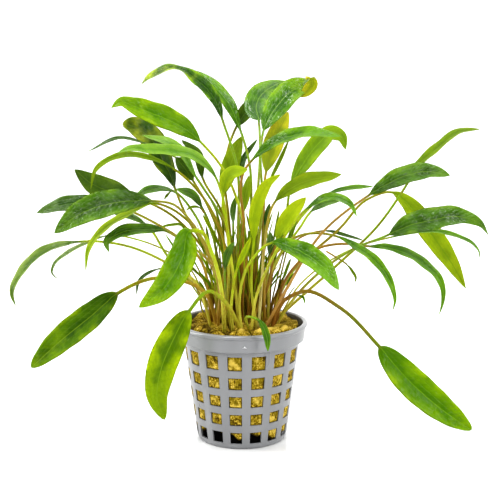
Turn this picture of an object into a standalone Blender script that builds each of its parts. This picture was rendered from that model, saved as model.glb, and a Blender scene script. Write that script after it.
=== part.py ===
"""A potted cryptocoryne: a net pot, its rock wool plug and the plant's leaves, each leaf with its own stalk.

Metres, +Z up. The origin is the centre of the pot's underside, and the plant is looked at along +Y.

A leaf's route is a short list of places (right, up) in millimetres, as they are read against an upright
board that stands through the pot's axis and faces the eye point EYE. Two depths, at the blade's base and
at its tip, say how far behind the board (or, if negative, in front of it) the leaf really is. Every place
is moved along its line of sight to that depth, so that the routes keep their drawing from EYE.
"""

import math
from collections import namedtuple

import bmesh
import bpy
import numpy as np

MM = 0.001

# Pot, in millimetres: a tapered cup with a rim, a collar and rows of windows
POT_HEIGHT = 50.0
LIP_RADIUS = 27.5
LIP_HEIGHT = 1.3
LIP_ROUND = 0.35
COLLAR_RADIUS = 26.2
COLLAR_BOTTOM = 42.6
COLLAR_STEP = 0.4
BODY_TOP_RADIUS = 24.3
BODY_BASE_RADIUS = 18.7
WALL = 1.0
FOOT_ROUND = 1.1
FLOOR_TOP = 1.2
WINDOW_COLUMNS = 15
WINDOW_ANGLE = math.radians(13.6)
WINDOW_TURN = math.radians(-6.7)
WINDOW_ROWS = [(2.7, 7.2), (10.7, 15.2), (18.6, 23.1), (26.5, 31.2), (34.7, 40.2)]
FLOOR_HUB_RADIUS = 7.5
FLOOR_SLOT_RADIUS = 14.5

# Rock wool plug, in millimetres
GAP = 0.35
WOOL_BOTTOM = 6.5
WOOL_BOTTOM_ROUND = 3.0
WOOL_CORE_RADIUS = 12.0
WOOL_TOP = 47.6
WOOL_EDGE_TOP = 45.4
WOOL_SHOULDER = 1.5
WOOL_SIDES = 24
WOOL_LEVELS = 5
WOOL_LUMP = 0.5
CROWN_REACH = 17.5

# Leaves, in millimetres
EYE = np.array([3.4, -462.4, 162.0])
STALK_BASE_RADIUS = 0.8
STALK_TOP_RADIUS = 0.55
THIN_STALK_RADIUS = 0.45
THIN_BLADE = 2.0
BLADE_START = 0.15
BLADE_HALF_THICKNESS = 0.3
BLADE_FOLD = 0.12
BLADE_BASE_POWER = 0.75
BLADE_TIP_POWER = 0.8
STALK_RINGS = 6
BLADE_RINGS = 8

# Where the stalks stand on the wool: millimetres, and how much of a leaf's lean its foot takes
FOOT_REACH = 16.3
FOOT_ROOM = 3.0
FOOT_LEAN = 0.5
FOOT_ROUNDS = 300
FOOT_WAYS = np.array([0.25, 1.0])

# Room between leaves, in millimetres, and how stiffly they bend to get it
STATIONS = 60
ACROSS = 7
REACH = 2.6
CLEARANCE = 0.6
ROOT_STATIONS = 5
STEP_BREAK = 2
FOOT_STATIONS = 3
EASING_KNOTS = 9
EASING_ROUNDS = 14
KEEP_PLACE = 0.002
KEEP_STRAIGHT = 0.05

Leaf = namedtuple("Leaf", "name wide turn back foot stalk blade")

# wide: widest apparent width; turn: how far the blade is rolled up from facing the eye, in degrees;
# back: depth behind the board at the blade's base and at its tip; foot: how far right of the axis the
# stalk stands on the wool; stalk and blade: the route.
LEAVES = [
    Leaf("leaf_left_01", 5.2, 45, (14, 30), -3, [(-1.5, 88), (-2, 115)],
         [(-8, 134.5), (-9.5, 139.5), (-13.5, 146), (-19, 151), (-23.5, 154), (-29, 155), (-34, 153),
          (-38, 150.5), (-40.5, 148)]),
    Leaf("leaf_left_02", 5.0, 50, (26, 48), 2.5, [(4, 94.5), (3, 117)],
         [(-0.5, 129.5), (-5.5, 141), (-14, 150), (-19.5, 153.5)]),
    Leaf("leaf_left_03", 9.3, 30, (0, -22), 2, [(-0.5, 96.5), (-7.5, 113.5)],
         [(-17, 125), (-22.5, 130), (-29.5, 134), (-37, 137), (-43.5, 139.5), (-48.5, 141), (-53, 138.5)]),
    Leaf("leaf_left_04", 9.7, 30, (26, 48), 1.5, [(-11, 75.5), (-21.5, 91.5)],
         [(-27.5, 106), (-29.5, 112), (-32, 117), (-34.5, 123), (-39, 128.5), (-44, 131.5), (-48.5, 132)]),
    Leaf("leaf_left_05", 3.5, 60, (8, 14), -6.5, [(-4, 84), (-9, 95)],
         [(-18.5, 110), (-27, 123.5), (-40.5, 127.5)]),
    Leaf("leaf_left_06", 1.5, 60, (18, 30), -8.5, [(-11.5, 98.5), (-25, 117)],
         [(-39, 124), (-49.5, 126.5), (-62.5, 121)]),
    Leaf("leaf_left_07", 4.6, 50, (-8, -30), -6.5, [(-5.5, 82), (-8.5, 104.5)],
         [(-10.5, 110), (-15, 116), (-21, 120), (-28.5, 121.5), (-37.5, 122), (-46.5, 122), (-51, 120)]),
    Leaf("leaf_left_08", 2.6, 55, (0, -8), -10.5, [(-8, 86), (-17, 103.5)],
         [(-27.5, 113.5), (-36.5, 118), (-49, 119.5), (-60, 113), (-62, 105)]),
    Leaf("leaf_left_09", 9.5, 30, (20, 42), -2.5, [(-15.5, 80), (-29.5, 95)],
         [(-44, 102), (-52.5, 104.5), (-60.5, 107.5), (-68.5, 113.5)]),
    Leaf("leaf_left_10", 6.2, 45, (10, 22), -12.5, [(-17.5, 76.5), (-38, 92.5)],
         [(-54, 99), (-72.5, 99.5), (-84.5, 95.5)]),
    Leaf("leaf_left_11", 11.2, 25, (-10, -30), -7, [(-13, 77.5), (-21, 92), (-28, 99)],
         [(-37, 100.5), (-53.5, 100), (-66.5, 95.5), (-77.5, 87)]),
    Leaf("leaf_left_12", 3.1, 55, (2, 4), -10, [(-12.5, 75.5), (-19.5, 95)],
         [(-28, 104.5), (-39, 105), (-45.5, 100.5)]),
    Leaf("leaf_left_13", 3.7, 50, (8, 16), -5, [(-10, 75.5), (-12.5, 88.5)],
         [(-16.5, 98), (-20, 103), (-27, 105.5)]),
    Leaf("leaf_left_14", 4.1, 40, (16, 34), 2, [(-5.5, 84), (-8.5, 96.5)],
         [(-16, 110), (-18, 119.5), (-24.5, 125.5)]),
    Leaf("leaf_left_15", 5.8, 40, (14, 24), -8, [(-9.5, 87), (-14, 98.5)],
         [(-20, 109), (-23, 114), (-27, 118.5)]),
    Leaf("leaf_left_16", 3.4, 68, (-6, -16), -12.5, [(-19.5, 66.5), (-32, 75), (-47, 81.5)],
         [(-67, 83.5), (-81.5, 80.5), (-91.5, 71.5), (-96, 61), (-94.5, 56)]),
    Leaf("leaf_left_17", 1.7, 60, (12, 20), -13.5, [(-21.5, 72), (-42, 84)],
         [(-55.5, 86), (-64.5, 83), (-73, 78.5), (-78, 74), (-79, 70.5), (-76.5, 67.5)]),
    Leaf("leaf_left_18", 2.8, 68, (-14, -34), -3.5, [(-12.5, 75), (-22, 92), (-30.5, 98)],
         [(-35.5, 99.5), (-46.5, 95.5), (-56, 90), (-63.5, 80.5), (-65, 71)]),
    Leaf("leaf_left_19", 2.9, 50, (10, 14), -10, [(-19.5, 65), (-30.5, 77)],
         [(-40, 91), (-47, 94.5), (-53.5, 95.5)]),
    Leaf("leaf_left_20", 5.0, 50, (-14, -34), -9.5, [(-11, 72), (-25.5, 84.5)],
         [(-31.5, 88), (-41, 89), (-51.5, 87), (-56, 83), (-55, 79)]),
    Leaf("leaf_left_21", 12.0, 20, (-24, -46), -7, [(-8.5, 63), (-12.5, 79), (-17.5, 88)],
         [(-21, 88), (-24.5, 77.5), (-33, 63.5), (-43, 55.5)]),
    Leaf("leaf_left_22", 11.2, 25, (-8, -24), -10, [(-15.5, 62), (-36.5, 68)],
         [(-52, 61.5), (-63.5, 52), (-77.5, 40.5), (-89, 29.5)]),
    Leaf("leaf_left_23", 1.5, 40, (6, 8), -13.5, [(-17.5, 65), (-28, 72)],
         [(-34.5, 72), (-43, 66.5), (-44, 61)]),
    Leaf("leaf_left_24", 12.8, 10, (-27, -32), 0, [(-7.5, 58.5), (-13, 62.5)],
         [(-22, 54), (-28.5, 42.5), (-34.5, 27.5), (-36, 17.5), (-33, 6.5)]),
    Leaf("leaf_front_01", 3.1, 20, (-24, -31), 3.5, [(2, 51.5)],
         [(6.5, 50.5), (10.5, 43), (11, 36.5)]),
    Leaf("leaf_top_01", 10.2, 20, (24, 58), 6.5, [(6.5, 100.5), (7.5, 124.5)],
         [(7, 133.5), (6, 140), (8, 144), (12, 147), (19, 149.5)]),
    Leaf("leaf_top_02", 9.9, 20, (10, 34), 1, [(8.5, 100.5), (8, 124)],
         [(9, 129.5), (12, 136), (15.5, 141), (20, 146.5), (26, 149.5), (30, 149)]),
    Leaf("leaf_top_03", 8.3, 25, (32, 60), 9.5, [(9, 94.5)],
         [(10, 112.5), (13.5, 125.5), (19, 137)]),
    Leaf("leaf_top_04", 5, 55, (-4, -24), 0, [(1, 88), (2, 114.5)],
         [(4.5, 117.5), (13.5, 125), (26, 129), (40.5, 127)]),
    Leaf("leaf_top_05", 7.7, 25, (8, 16), 8, [(12.5, 71.5), (18.5, 96)],
         [(20.5, 107.5), (24, 114), (27.5, 119.5), (32, 125), (36.5, 128.5), (40.5, 127), (42.5, 121.5)]),
    Leaf("leaf_top_06", 6.2, 40, (-10, -26), 7.5, [(8.5, 69.5), (9.5, 82.5)],
         [(14, 100.5), (24, 108), (41, 111.5)]),
    Leaf("leaf_top_07", 5.0, 30, (-16, -22), 6, [(4, 65)],
         [(5, 84), (6, 97.5), (11, 108), (16, 111.5)]),
    Leaf("leaf_top_08", 5.8, 40, (-10, -24), -1, [(-5.5, 86)],
         [(-7.5, 104), (-5, 111.5), (2.5, 113.5)]),
    Leaf("leaf_top_09", 7.2, 10, (18, 42), -5, [(-7.5, 84)],
         [(-7.5, 103), (-4, 117), (0, 127)]),
    Leaf("leaf_top_10", 2.5, 30, (26, 44), -1, [(1, 88)],
         [(0, 107.5), (0.5, 117), (6.5, 126)]),
    Leaf("leaf_top_11", 5.8, 20, (36, 56), -2, [(-5.5, 94.5), (-7, 114.5)],
         [(-2, 131), (2, 137.5), (6.5, 143)]),
    Leaf("leaf_top_12", 3.7, 20, (8, 14), 0.5, [(-0.5, 80)],
         [(0.5, 95.5), (2, 105), (3, 111)]),
    Leaf("leaf_top_13", 2.5, 20, (12, 20), -2, [(-3.5, 77.5)],
         [(-3.5, 91), (-3.5, 97.5), (-2, 103)]),
    Leaf("leaf_front_02", 3.3, 20, (-16, -26), -4, [(-6.5, 60.5)],
         [(-7, 72), (-6, 78), (-3, 83.5)]),
    Leaf("leaf_front_03", 2.5, 30, (-20, -34), -3.5, [(-4.5, 54.5), (-4, 61)],
         [(-2, 72), (1.5, 80), (4, 85.5)]),
    Leaf("leaf_front_04", 8.7, 35, (-20, -48), 0, [(-1, 58.5), (2.5, 73)],
         [(12.5, 83), (23, 80.5), (33.5, 73.5), (40.5, 63)]),
    Leaf("leaf_right_01", 6.6, 20, (6, 16), 4, [(11, 65)],
         [(14.5, 84), (20.5, 95.5), (26.5, 102)]),
    Leaf("leaf_right_02", 2.5, 20, (14, 22), 5, [(8.5, 75.5)],
         [(9.5, 90.5), (10.5, 94.5), (11.5, 99.5)]),
    Leaf("leaf_right_03", 2.9, 20, (0, 3), 3, [(11, 71.5)],
         [(11.5, 78), (12, 83), (12, 87.5)]),
    Leaf("leaf_right_04", 3.3, 60, (-20, -34), 4, [(6, 60), (11.5, 74), (20, 89)],
         [(26.5, 97), (37, 102.5), (44.5, 99.5), (47.5, 94)]),
    Leaf("leaf_right_05", 2.9, 55, (8, 14), 11, [(12.5, 71.5), (24.5, 90)],
         [(28.5, 96), (34, 99.5), (40.5, 100.5)]),
    Leaf("leaf_right_06", 2.1, 55, (28, 44), 5.5, [(14, 73.5), (26, 95.5)],
         [(35.5, 103.5), (44.5, 106), (54, 106.5)]),
    Leaf("leaf_right_07", 7.7, 40, (-12, -26), 9.5, [(19.5, 65), (34, 88)],
         [(52.5, 103), (63.5, 110), (77, 113), (85.5, 111)]),
    Leaf("leaf_right_08", 3.5, 62, (4, 18), 12, [(23, 58.5), (39.5, 73.5), (56.5, 90.5)],
         [(67, 106), (73, 116.5), (80, 123), (88, 129), (97, 130)]),
    Leaf("leaf_right_09", 8.8, 20, (16, 34), 9.5, [(20, 69.5), (41, 89.5), (51.5, 101)],
         [(62, 104), (67.5, 100.5), (73.5, 93.5), (79.5, 85.5), (87.5, 74), (93.5, 63.5)]),
    Leaf("leaf_right_10", 9.7, 35, (-8, -20), 14, [(18, 54), (33.5, 71.5), (46.5, 80.5)],
         [(61, 86.5), (69.5, 91), (78.5, 93), (86.5, 94.5), (93.5, 93.5), (98.5, 91), (102.5, 85.5)]),
    Leaf("leaf_right_11", 1.9, 60, (4, 8), 14, [(24, 65), (45, 80)],
         [(62.5, 85.5), (80.5, 88), (90.5, 85.5), (96, 82.5), (98.5, 79), (98.5, 76)]),
    Leaf("leaf_right_12", 3.7, 60, (-2, 4), 14.5, [(18, 67), (32.5, 81), (45.5, 82.5)],
         [(53, 81.5), (59.5, 81.5), (65.5, 80), (71.5, 77.5), (77.5, 73), (81.5, 69), (84, 63),
          (84, 58), (82.5, 52)]),
    Leaf("leaf_right_13", 3.7, 60, (-10, -32), 9, [(12.5, 76.5), (24, 86)],
         [(40, 85.5), (47.5, 81.5), (53.5, 77.5), (59, 71.5), (63, 63.5), (64, 58.5), (63, 53.5)]),
    Leaf("leaf_right_14", 1.5, 50, (12, 18), 11, [(16, 77.5), (27, 86.5)],
         [(33.5, 88), (45.5, 85.5), (50.5, 84)]),
    Leaf("leaf_right_15", 12.4, 20, (-14, -26), 12.5, [(14.5, 55), (26.5, 62.5), (41, 55.5)],
         [(58, 38.5), (70, 25), (85, 11.5), (98, 2)]),
    Leaf("leaf_right_16", 1.9, 20, (-12, -16), 10, [(16, 56.5)],
         [(18.5, 62.5), (20.5, 67.5), (22.5, 71)]),
]

POT_COLOUR = (0.42, 0.44, 0.48)
WOOL_COLOUR = (0.42, 0.32, 0.05)
LEAF_COLOUR = (0.10, 0.28, 0.02)
SATIN = 0.35
MATT = 0.95


def clear_scene():
    """Removes whatever the file opened with."""
    for thing in list(bpy.data.objects):
        bpy.data.objects.remove(thing)


def make_material(name, colour, roughness):
    """A Principled material of one colour."""
    material = bpy.data.materials.new(name)
    material.use_nodes = True
    shader = material.node_tree.nodes["Principled BSDF"]
    shader.inputs["Base Color"].default_value = (*colour, 1.0)
    shader.inputs["Roughness"].default_value = roughness
    shader.inputs["Metallic"].default_value = 0.0
    return material


def add_piece(name, points, faces, material):
    """Puts one named object in the scene from points in millimetres and faces that list their corners."""
    mesh = bpy.data.meshes.new(name)
    mesh.from_pydata([tuple(MM * float(c) for c in p) for p in points], [], faces)
    shape = bmesh.new()
    shape.from_mesh(mesh)
    bmesh.ops.remove_doubles(shape, verts=shape.verts, dist=1e-7)
    bmesh.ops.recalc_face_normals(shape, faces=shape.faces)
    shape.to_mesh(mesh)
    shape.free()
    mesh.shade_smooth()
    mesh.set_sharp_from_angle(angle=math.radians(40))
    mesh.materials.append(material)
    piece = bpy.data.objects.new(name, mesh)
    bpy.context.collection.objects.link(piece)
    return piece


def body_radius(height):
    """Outer radius of the pot's tapered body at a height."""
    return BODY_BASE_RADIUS + (BODY_TOP_RADIUS - BODY_BASE_RADIUS) * height / COLLAR_BOTTOM


def pot_profile():
    """The pot's section as pairs (outer radius, outer height), (inner radius, inner height), floor up.

    A third value says whether the band up to the next pair has windows.
    """
    profile = []
    foot = body_radius(FOOT_ROUND)
    profile.append(((foot, FOOT_ROUND), (body_radius(FLOOR_TOP) - WALL, FLOOR_TOP), False))
    for low, high in WINDOW_ROWS:
        profile.append(((body_radius(low), low), (body_radius(low) - WALL, low), True))
        profile.append(((body_radius(high), high), (body_radius(high) - WALL, high), False))
    step = body_radius(COLLAR_BOTTOM)
    collar_inner = COLLAR_RADIUS - WALL
    lip_bottom = POT_HEIGHT - LIP_HEIGHT
    profile.append(((step, COLLAR_BOTTOM), (step - WALL, COLLAR_BOTTOM), False))
    ledge = COLLAR_BOTTOM + COLLAR_STEP
    profile.append(((COLLAR_RADIUS, ledge), (collar_inner, ledge + WALL), False))
    profile.append(((COLLAR_RADIUS, lip_bottom), (collar_inner, lip_bottom), False))
    lip_inner = collar_inner + LIP_ROUND
    profile.append(((LIP_RADIUS, lip_bottom + LIP_ROUND), (collar_inner, POT_HEIGHT - LIP_ROUND), False))
    profile.append(((LIP_RADIUS - LIP_ROUND, POT_HEIGHT), (lip_inner, POT_HEIGHT), False))
    return profile


def ring_angles():
    """Angles of the pot's edges: both sides of each window column, measured from the front."""
    pitch = 2 * math.pi / WINDOW_COLUMNS
    angles = []
    for column in range(WINDOW_COLUMNS):
        middle = WINDOW_TURN + column * pitch
        angles.append(middle - WINDOW_ANGLE / 2)
        angles.append(middle + WINDOW_ANGLE / 2)
    return angles


def make_pot(material):
    """The net pot: wall and floor in one piece, with open windows in the wall and slots in the floor."""
    angles = ring_angles()
    count = len(angles)
    points = []
    faces = []

    def add_ring(radius, height):
        start = len(points)
        points.extend((radius * math.sin(a), -radius * math.cos(a), height) for a in angles)
        return start

    def band(low, high, open_columns=False):
        """Faces between two rings. Even sides are the window columns."""
        for side in range(count):
            if open_columns and side % 2 == 0:
                continue
            after = (side + 1) % count
            faces.append((low + side, low + after, high + after, high + side))

    def window_frames(outer_low, outer_high, inner_low, inner_high):
        """The four faces through the wall round each opening."""
        for side in range(0, count, 2):
            after = (side + 1) % count
            corners = [(outer_low, side), (outer_low, after), (outer_high, after), (outer_high, side)]
            inner = [(inner_low, side), (inner_low, after), (inner_high, after), (inner_high, side)]
            for k in range(4):
                first, second = corners[k], corners[(k + 1) % 4]
                third, fourth = inner[(k + 1) % 4], inner[k]
                faces.append(tuple(ring + place for ring, place in (first, second, third, fourth)))

    rings = [(add_ring(*outer), add_ring(*inner), has) for outer, inner, has in pot_profile()]
    for (outer, inner, has), (outer_next, inner_next, _) in zip(rings, rings[1:]):
        band(outer, outer_next, has)
        band(inner_next, inner, has)
        if has:
            window_frames(outer, outer_next, inner, inner_next)
    band(rings[-1][0], rings[-1][1])

    under = [add_ring(body_radius(0) - FOOT_ROUND, 0.0)]
    above = [rings[0][1]]
    for radius in (FLOOR_SLOT_RADIUS, FLOOR_HUB_RADIUS):
        under.append(add_ring(radius, 0.0))
        above.append(add_ring(radius, FLOOR_TOP))
    band(under[0], rings[0][0])
    band(under[1], under[0])
    band(above[0], above[1])
    band(under[2], under[1], True)
    band(above[1], above[2], True)
    window_frames(under[2], under[1], above[2], above[1])
    faces.append(tuple(under[2] + side for side in range(count)))
    faces.append(tuple(above[2] + side for side in reversed(range(count))))
    return add_piece("net_pot", points, faces, material)


def make_wool(material):
    """The rock wool plug: a lumpy cone that fills the pot, flat on top where the crown stands.

    It is narrower at its foot, where the lowest windows look in on a dark space, and rests on the floor.
    """
    levels = []
    for height in np.linspace(WOOL_BOTTOM + WOOL_BOTTOM_ROUND, WOOL_EDGE_TOP - WOOL_LUMP, WOOL_LEVELS):
        levels.append((body_radius(min(height, COLLAR_BOTTOM)) - WALL - GAP, height, 0.0))
    core = [(WOOL_CORE_RADIUS, FLOOR_TOP + GAP, 0.0), (WOOL_CORE_RADIUS, WOOL_BOTTOM - WOOL_LUMP, 0.0)]
    bottom = core + [(levels[0][0] - WOOL_BOTTOM_ROUND, WOOL_BOTTOM, 0.0)]
    edge = levels[-1][0] - WOOL_SHOULDER
    top = [(edge, WOOL_EDGE_TOP, WOOL_LUMP), (CROWN_REACH, WOOL_TOP, 0.0)]
    points = []
    faces = []
    for radius, height, lump in bottom + levels + top:
        for side in range(WOOL_SIDES):
            angle = 2 * math.pi * side / WOOL_SIDES
            sway = lump * math.sin(5 * angle + radius) * math.cos(3 * angle)
            points.append((radius * math.sin(angle), -radius * math.cos(angle), height + sway))
    for ring in range(len(points) // WOOL_SIDES - 1):
        low = ring * WOOL_SIDES
        high = low + WOOL_SIDES
        for side in range(WOOL_SIDES):
            after = (side + 1) % WOOL_SIDES
            faces.append((low + side, low + after, high + after, high + side))
    faces.append(tuple(reversed(range(WOOL_SIDES))))
    faces.append(tuple(range(len(points) - WOOL_SIDES, len(points))))
    return add_piece("rock_wool", points, faces, material)


def onto_board(places):
    """Where the lines of sight to some real places (x, y, z) cross the board: (right, up) pairs."""
    places = np.asarray(places, float)
    share = EYE[1] / (EYE[1] - places[..., 1])
    return (EYE + (places - EYE) * share[..., None])[..., [0, 2]]


def at_depth(board, depth):
    """Real places of board points (right, up), each moved along its line of sight to a depth."""
    share = 1 - depth / EYE[1]
    flat = np.stack([board[..., 0], np.zeros_like(depth), board[..., 1]], -1)
    return EYE + (flat - EYE) * share[..., None]


def smooth_line(places, shares, at):
    """A cubic through places given at rising shares, with slopes from their neighbours, read at `at`."""
    slopes = np.gradient(places, shares, axis=0)
    k = np.clip(np.searchsorted(shares, at, side="right") - 1, 0, len(shares) - 2)
    span = (shares[k + 1] - shares[k])[:, None]
    t = (at - shares[k])[:, None] / span
    start = places[k] * (1 + 2 * t) * (1 - t) ** 2 + slopes[k] * span * t * (1 - t) ** 2
    end = places[k + 1] * (3 - 2 * t) * t**2 - slopes[k + 1] * span * (1 - t) * t**2
    return start + end


def blade_share(v):
    """Width of a blade at share v of its length, as a share of its widest."""
    widest = BLADE_BASE_POWER / (BLADE_BASE_POWER + BLADE_TIP_POWER)
    v = np.clip(v, 0, 1)
    return (v / widest) ** BLADE_BASE_POWER * ((1 - v) / (1 - widest)) ** BLADE_TIP_POWER


def stand_feet():
    """Where the stalks stand: a leaf that leans back stands further back, and each has room round it."""
    feet = np.array([(leaf.foot, FOOT_LEAN * leaf.back[0]) for leaf in LEAVES])
    for _ in range(FOOT_ROUNDS):
        between = feet[:, None] - feet[None]
        apart = np.hypot(between[..., 0], between[..., 1]) + np.eye(len(feet)) * FOOT_REACH
        push = np.clip(FOOT_ROOM / apart - 1, 0, 1)
        feet += (between * push[..., None]).sum(1) / 2 * FOOT_WAYS
        feet *= np.clip(FOOT_REACH / np.hypot(*feet.T), None, 1)[:, None]
    return feet


def lay_out(leaf, foot):
    """A leaf's line and section at evenly spaced stations, before it is eased clear of its neighbours."""
    root = (*foot, WOOL_TOP + GAP)
    drawn = np.array([onto_board(root)] + leaf.stalk + leaf.blade, float)
    steps = np.hypot(*np.diff(drawn, axis=0).T)
    shares = np.concatenate([[0], np.cumsum(steps)]) / steps.sum()
    base = shares[1 + len(leaf.stalk)]
    at = np.linspace(0, 1, STATIONS)
    line = smooth_line(drawn, shares, at)
    bends = np.array([0.0, base, (1 + base) / 2, 1.0])
    depths = np.array([root[1], leaf.back[0], np.mean(leaf.back), leaf.back[1]])
    depth = smooth_line(depths[:, None], bends, at)[:, 0]
    along = np.gradient(line, axis=0)
    along /= np.hypot(*along.T)[:, None]
    side = np.stack([-along[:, 1], along[:, 0]], -1)
    v = (at - base) / (1 - base)
    thin = leaf.wide < THIN_BLADE
    foot, top = (THIN_STALK_RADIUS,) * 2 if thin else (STALK_BASE_RADIUS, STALK_TOP_RADIUS)
    stalk = np.interp(at, [0, base, 1], [foot, top, BLADE_HALF_THICKNESS / 2])
    half = np.maximum(leaf.wide / 2 * blade_share(v), stalk)
    into_blade = np.clip(v / BLADE_START, 0, 1)
    tilt = math.tan(math.radians(leaf.turn)) * side[:, 1] * into_blade
    thick = stalk + (np.minimum(stalk, BLADE_HALF_THICKNESS) - stalk) * into_blade
    return {"line": line, "depth": depth, "side": side, "half": half, "tilt": tilt, "thick": thick,
            "blade": into_blade, "base": base, "length": steps.sum()}


def stretches(chosen, stations):
    """Splits the chosen crossings where their stations along a leaf stop following each other."""
    order = chosen[np.argsort(stations[chosen], kind="stable")]
    return np.split(order, np.nonzero(np.diff(stations[order]) > STEP_BREAK)[0] + 1)


def crossings(laid):
    """Where two leaves cover the same spot on the board: stations, depth offsets, room and order."""
    spread = np.linspace(-1, 1, ACROSS)
    for leaf in laid:
        out = spread[None, :] * leaf["half"][:, None]
        leaf["spots"] = leaf["line"][:, None, :] + leaf["side"][:, None, :] * out[..., None]
        leaf["lifts"] = out * leaf["tilt"][:, None]
    found = []
    for one, first in enumerate(laid):
        for two in range(one + 1, len(laid)):
            second = laid[two]
            apart = np.hypot(*(first["line"][:, None, :] - second["line"][None, :, :]).transpose(2, 0, 1))
            k, m = np.nonzero(apart < first["half"][:, None] + second["half"][None, :] + REACH)
            between = first["spots"][k][:, :, None, :] - second["spots"][m][:, None, :, :]
            near, a, b = np.nonzero((between**2).sum(-1) < REACH**2)
            if len(near) == 0:
                continue
            k, m = k[near], m[near]
            offset = first["lifts"][k, a] - second["lifts"][m, b]
            room = first["thick"][k] + second["thick"][m] + CLEARANCE
            gap = first["depth"][k] - second["depth"][m] + offset
            sign = np.empty(len(k))
            for start in stretches(np.arange(len(k)), k):
                for stretch in stretches(start, m):
                    foot = stretch[k[stretch] < k[stretch].min() + FOOT_STATIONS]
                    rooted = max(k[stretch].min(), m[stretch].min()) < ROOT_STATIONS
                    judged = foot if rooted else stretch
                    sign[stretch] = 1.0 if gap[judged].mean() >= 0 else -1.0
            hardest = np.lexsort((sign * offset, m, k))
            _, first_of = np.unique(k[hardest] * STATIONS + m[hardest], return_index=True)
            keep = hardest[first_of]
            rows = (np.full(len(k), one), k, np.full(len(k), two), m, offset, room, sign)
            found.append(np.stack(rows, -1)[keep])
    return np.concatenate(found)


def ease_apart(laid):
    """Bends leaves along their lines of sight, as little as clears them of each other, feet staying put.

    A leaf's bend is a smooth line through knots along it. Each round solves for the knots that bend least
    and still open every gap that is too narrow.
    """
    one, k, two, m, offset, room, sign = crossings(laid).T
    one, k, two, m = (v.astype(int) for v in (one, k, two, m))
    depth = np.stack([leaf["depth"] for leaf in laid])
    along = np.linspace(0, 1, STATIONS)
    knots = np.linspace(0, 1, EASING_KNOTS)
    shape = smooth_line(np.eye(EASING_KNOTS), knots, along)[:, 1:]
    bend = np.diff(np.eye(EASING_KNOTS), 2, axis=0)[:, 1:]
    stiff = KEEP_PLACE * np.eye(EASING_KNOTS - 1) + KEEP_STRAIGHT * bend.T @ bend
    resist = np.kron(np.eye(len(laid)), stiff)
    lack = room - sign * (depth[one, k] - depth[two, m] + offset)
    moves = np.zeros((len(laid), EASING_KNOTS - 1))
    for _ in range(EASING_ROUNDS):
        moved = moves @ shape.T
        tight = np.nonzero(sign * (moved[one, k] - moved[two, m]) < lack)[0]
        rows = np.zeros((len(tight), *moves.shape))
        order = np.arange(len(tight))
        rows[order, one[tight]] += sign[tight, None] * shape[k[tight]]
        rows[order, two[tight]] -= sign[tight, None] * shape[m[tight]]
        rows = rows.reshape(len(tight), -1)
        solved = np.linalg.solve(resist + rows.T @ rows, rows.T @ lack[tight])
        moves = (moves + solved.reshape(moves.shape)) / 2
    for leaf, row in zip(laid, depth + moves @ shape.T):
        leaf["depth"] = row


def make_leaf(name, laid, material):
    """One leaf as a closed solid: a four-sided stalk that flattens into a blade folded along its midrib.

    Its faces are triangles whose long sides all run from an edge up to the midrib, above and beneath alike,
    so that a blade that twists stays as thick as it is.
    """
    shares = np.concatenate([
        np.linspace(0, laid["base"], STALK_RINGS),
        laid["base"] + (1 - laid["base"]) * np.linspace(0, 1, BLADE_RINGS + 2)[1:],
    ])
    at = np.linspace(0, 1, STATIONS)

    def read(values):
        return np.stack([np.interp(shares, at, column) for column in np.atleast_2d(values.T)], -1)

    line, side = read(laid["line"]), read(laid["side"])
    depth, half, tilt, thick, blade = (
        read(laid[key])[:, 0] for key in ("depth", "half", "tilt", "thick", "blade")
    )
    lean = np.hypot(1, tilt)
    corners = []
    for out, up in ((1, 0), (0, 1), (-1, 0), (0, -1)):
        raised = up * thick - (up != 0) * BLADE_FOLD * half * blade
        board = line + side * (out * half + raised * tilt / lean)[:, None]
        corners.append(at_depth(board, depth + out * half * tilt - raised / lean))
    rings = np.stack(corners, 1)[:-1]
    rings[0, :, 2] = WOOL_TOP + GAP
    tip = at_depth(line[-1], depth[-1])
    points = [*rings.reshape(-1, 3), tip]
    faces = []
    for ring in range(len(rings) - 1):
        low = 4 * ring
        high = low + 4
        for edge in (0, 2):
            for rib, way in ((edge + 1, 1), ((edge + 3) % 4, -1)):
                faces.append((low + edge, low + rib, high + rib)[::way])
                faces.append((low + edge, high + rib, high + edge)[::way])
    last = 4 * (len(rings) - 1)
    for k in range(4):
        faces.append((last + k, last + (k + 1) % 4, len(points) - 1))
    faces.append((3, 2, 1, 0))
    return add_piece(name, points, faces, material)


def make_leaves(material):
    """Every leaf, eased clear of the others."""
    laid = [lay_out(leaf, foot) for leaf, foot in zip(LEAVES, stand_feet())]
    ease_apart(laid)
    for leaf, shape in zip(LEAVES, laid):
        make_leaf(leaf.name, shape, material)


clear_scene()
make_pot(make_material("pot_plastic", POT_COLOUR, SATIN))
make_wool(make_material("rock_wool_fibre", WOOL_COLOUR, MATT))
make_leaves(make_material("leaf_green", LEAF_COLOUR, SATIN))
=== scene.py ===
import math
from collections import namedtuple

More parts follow.
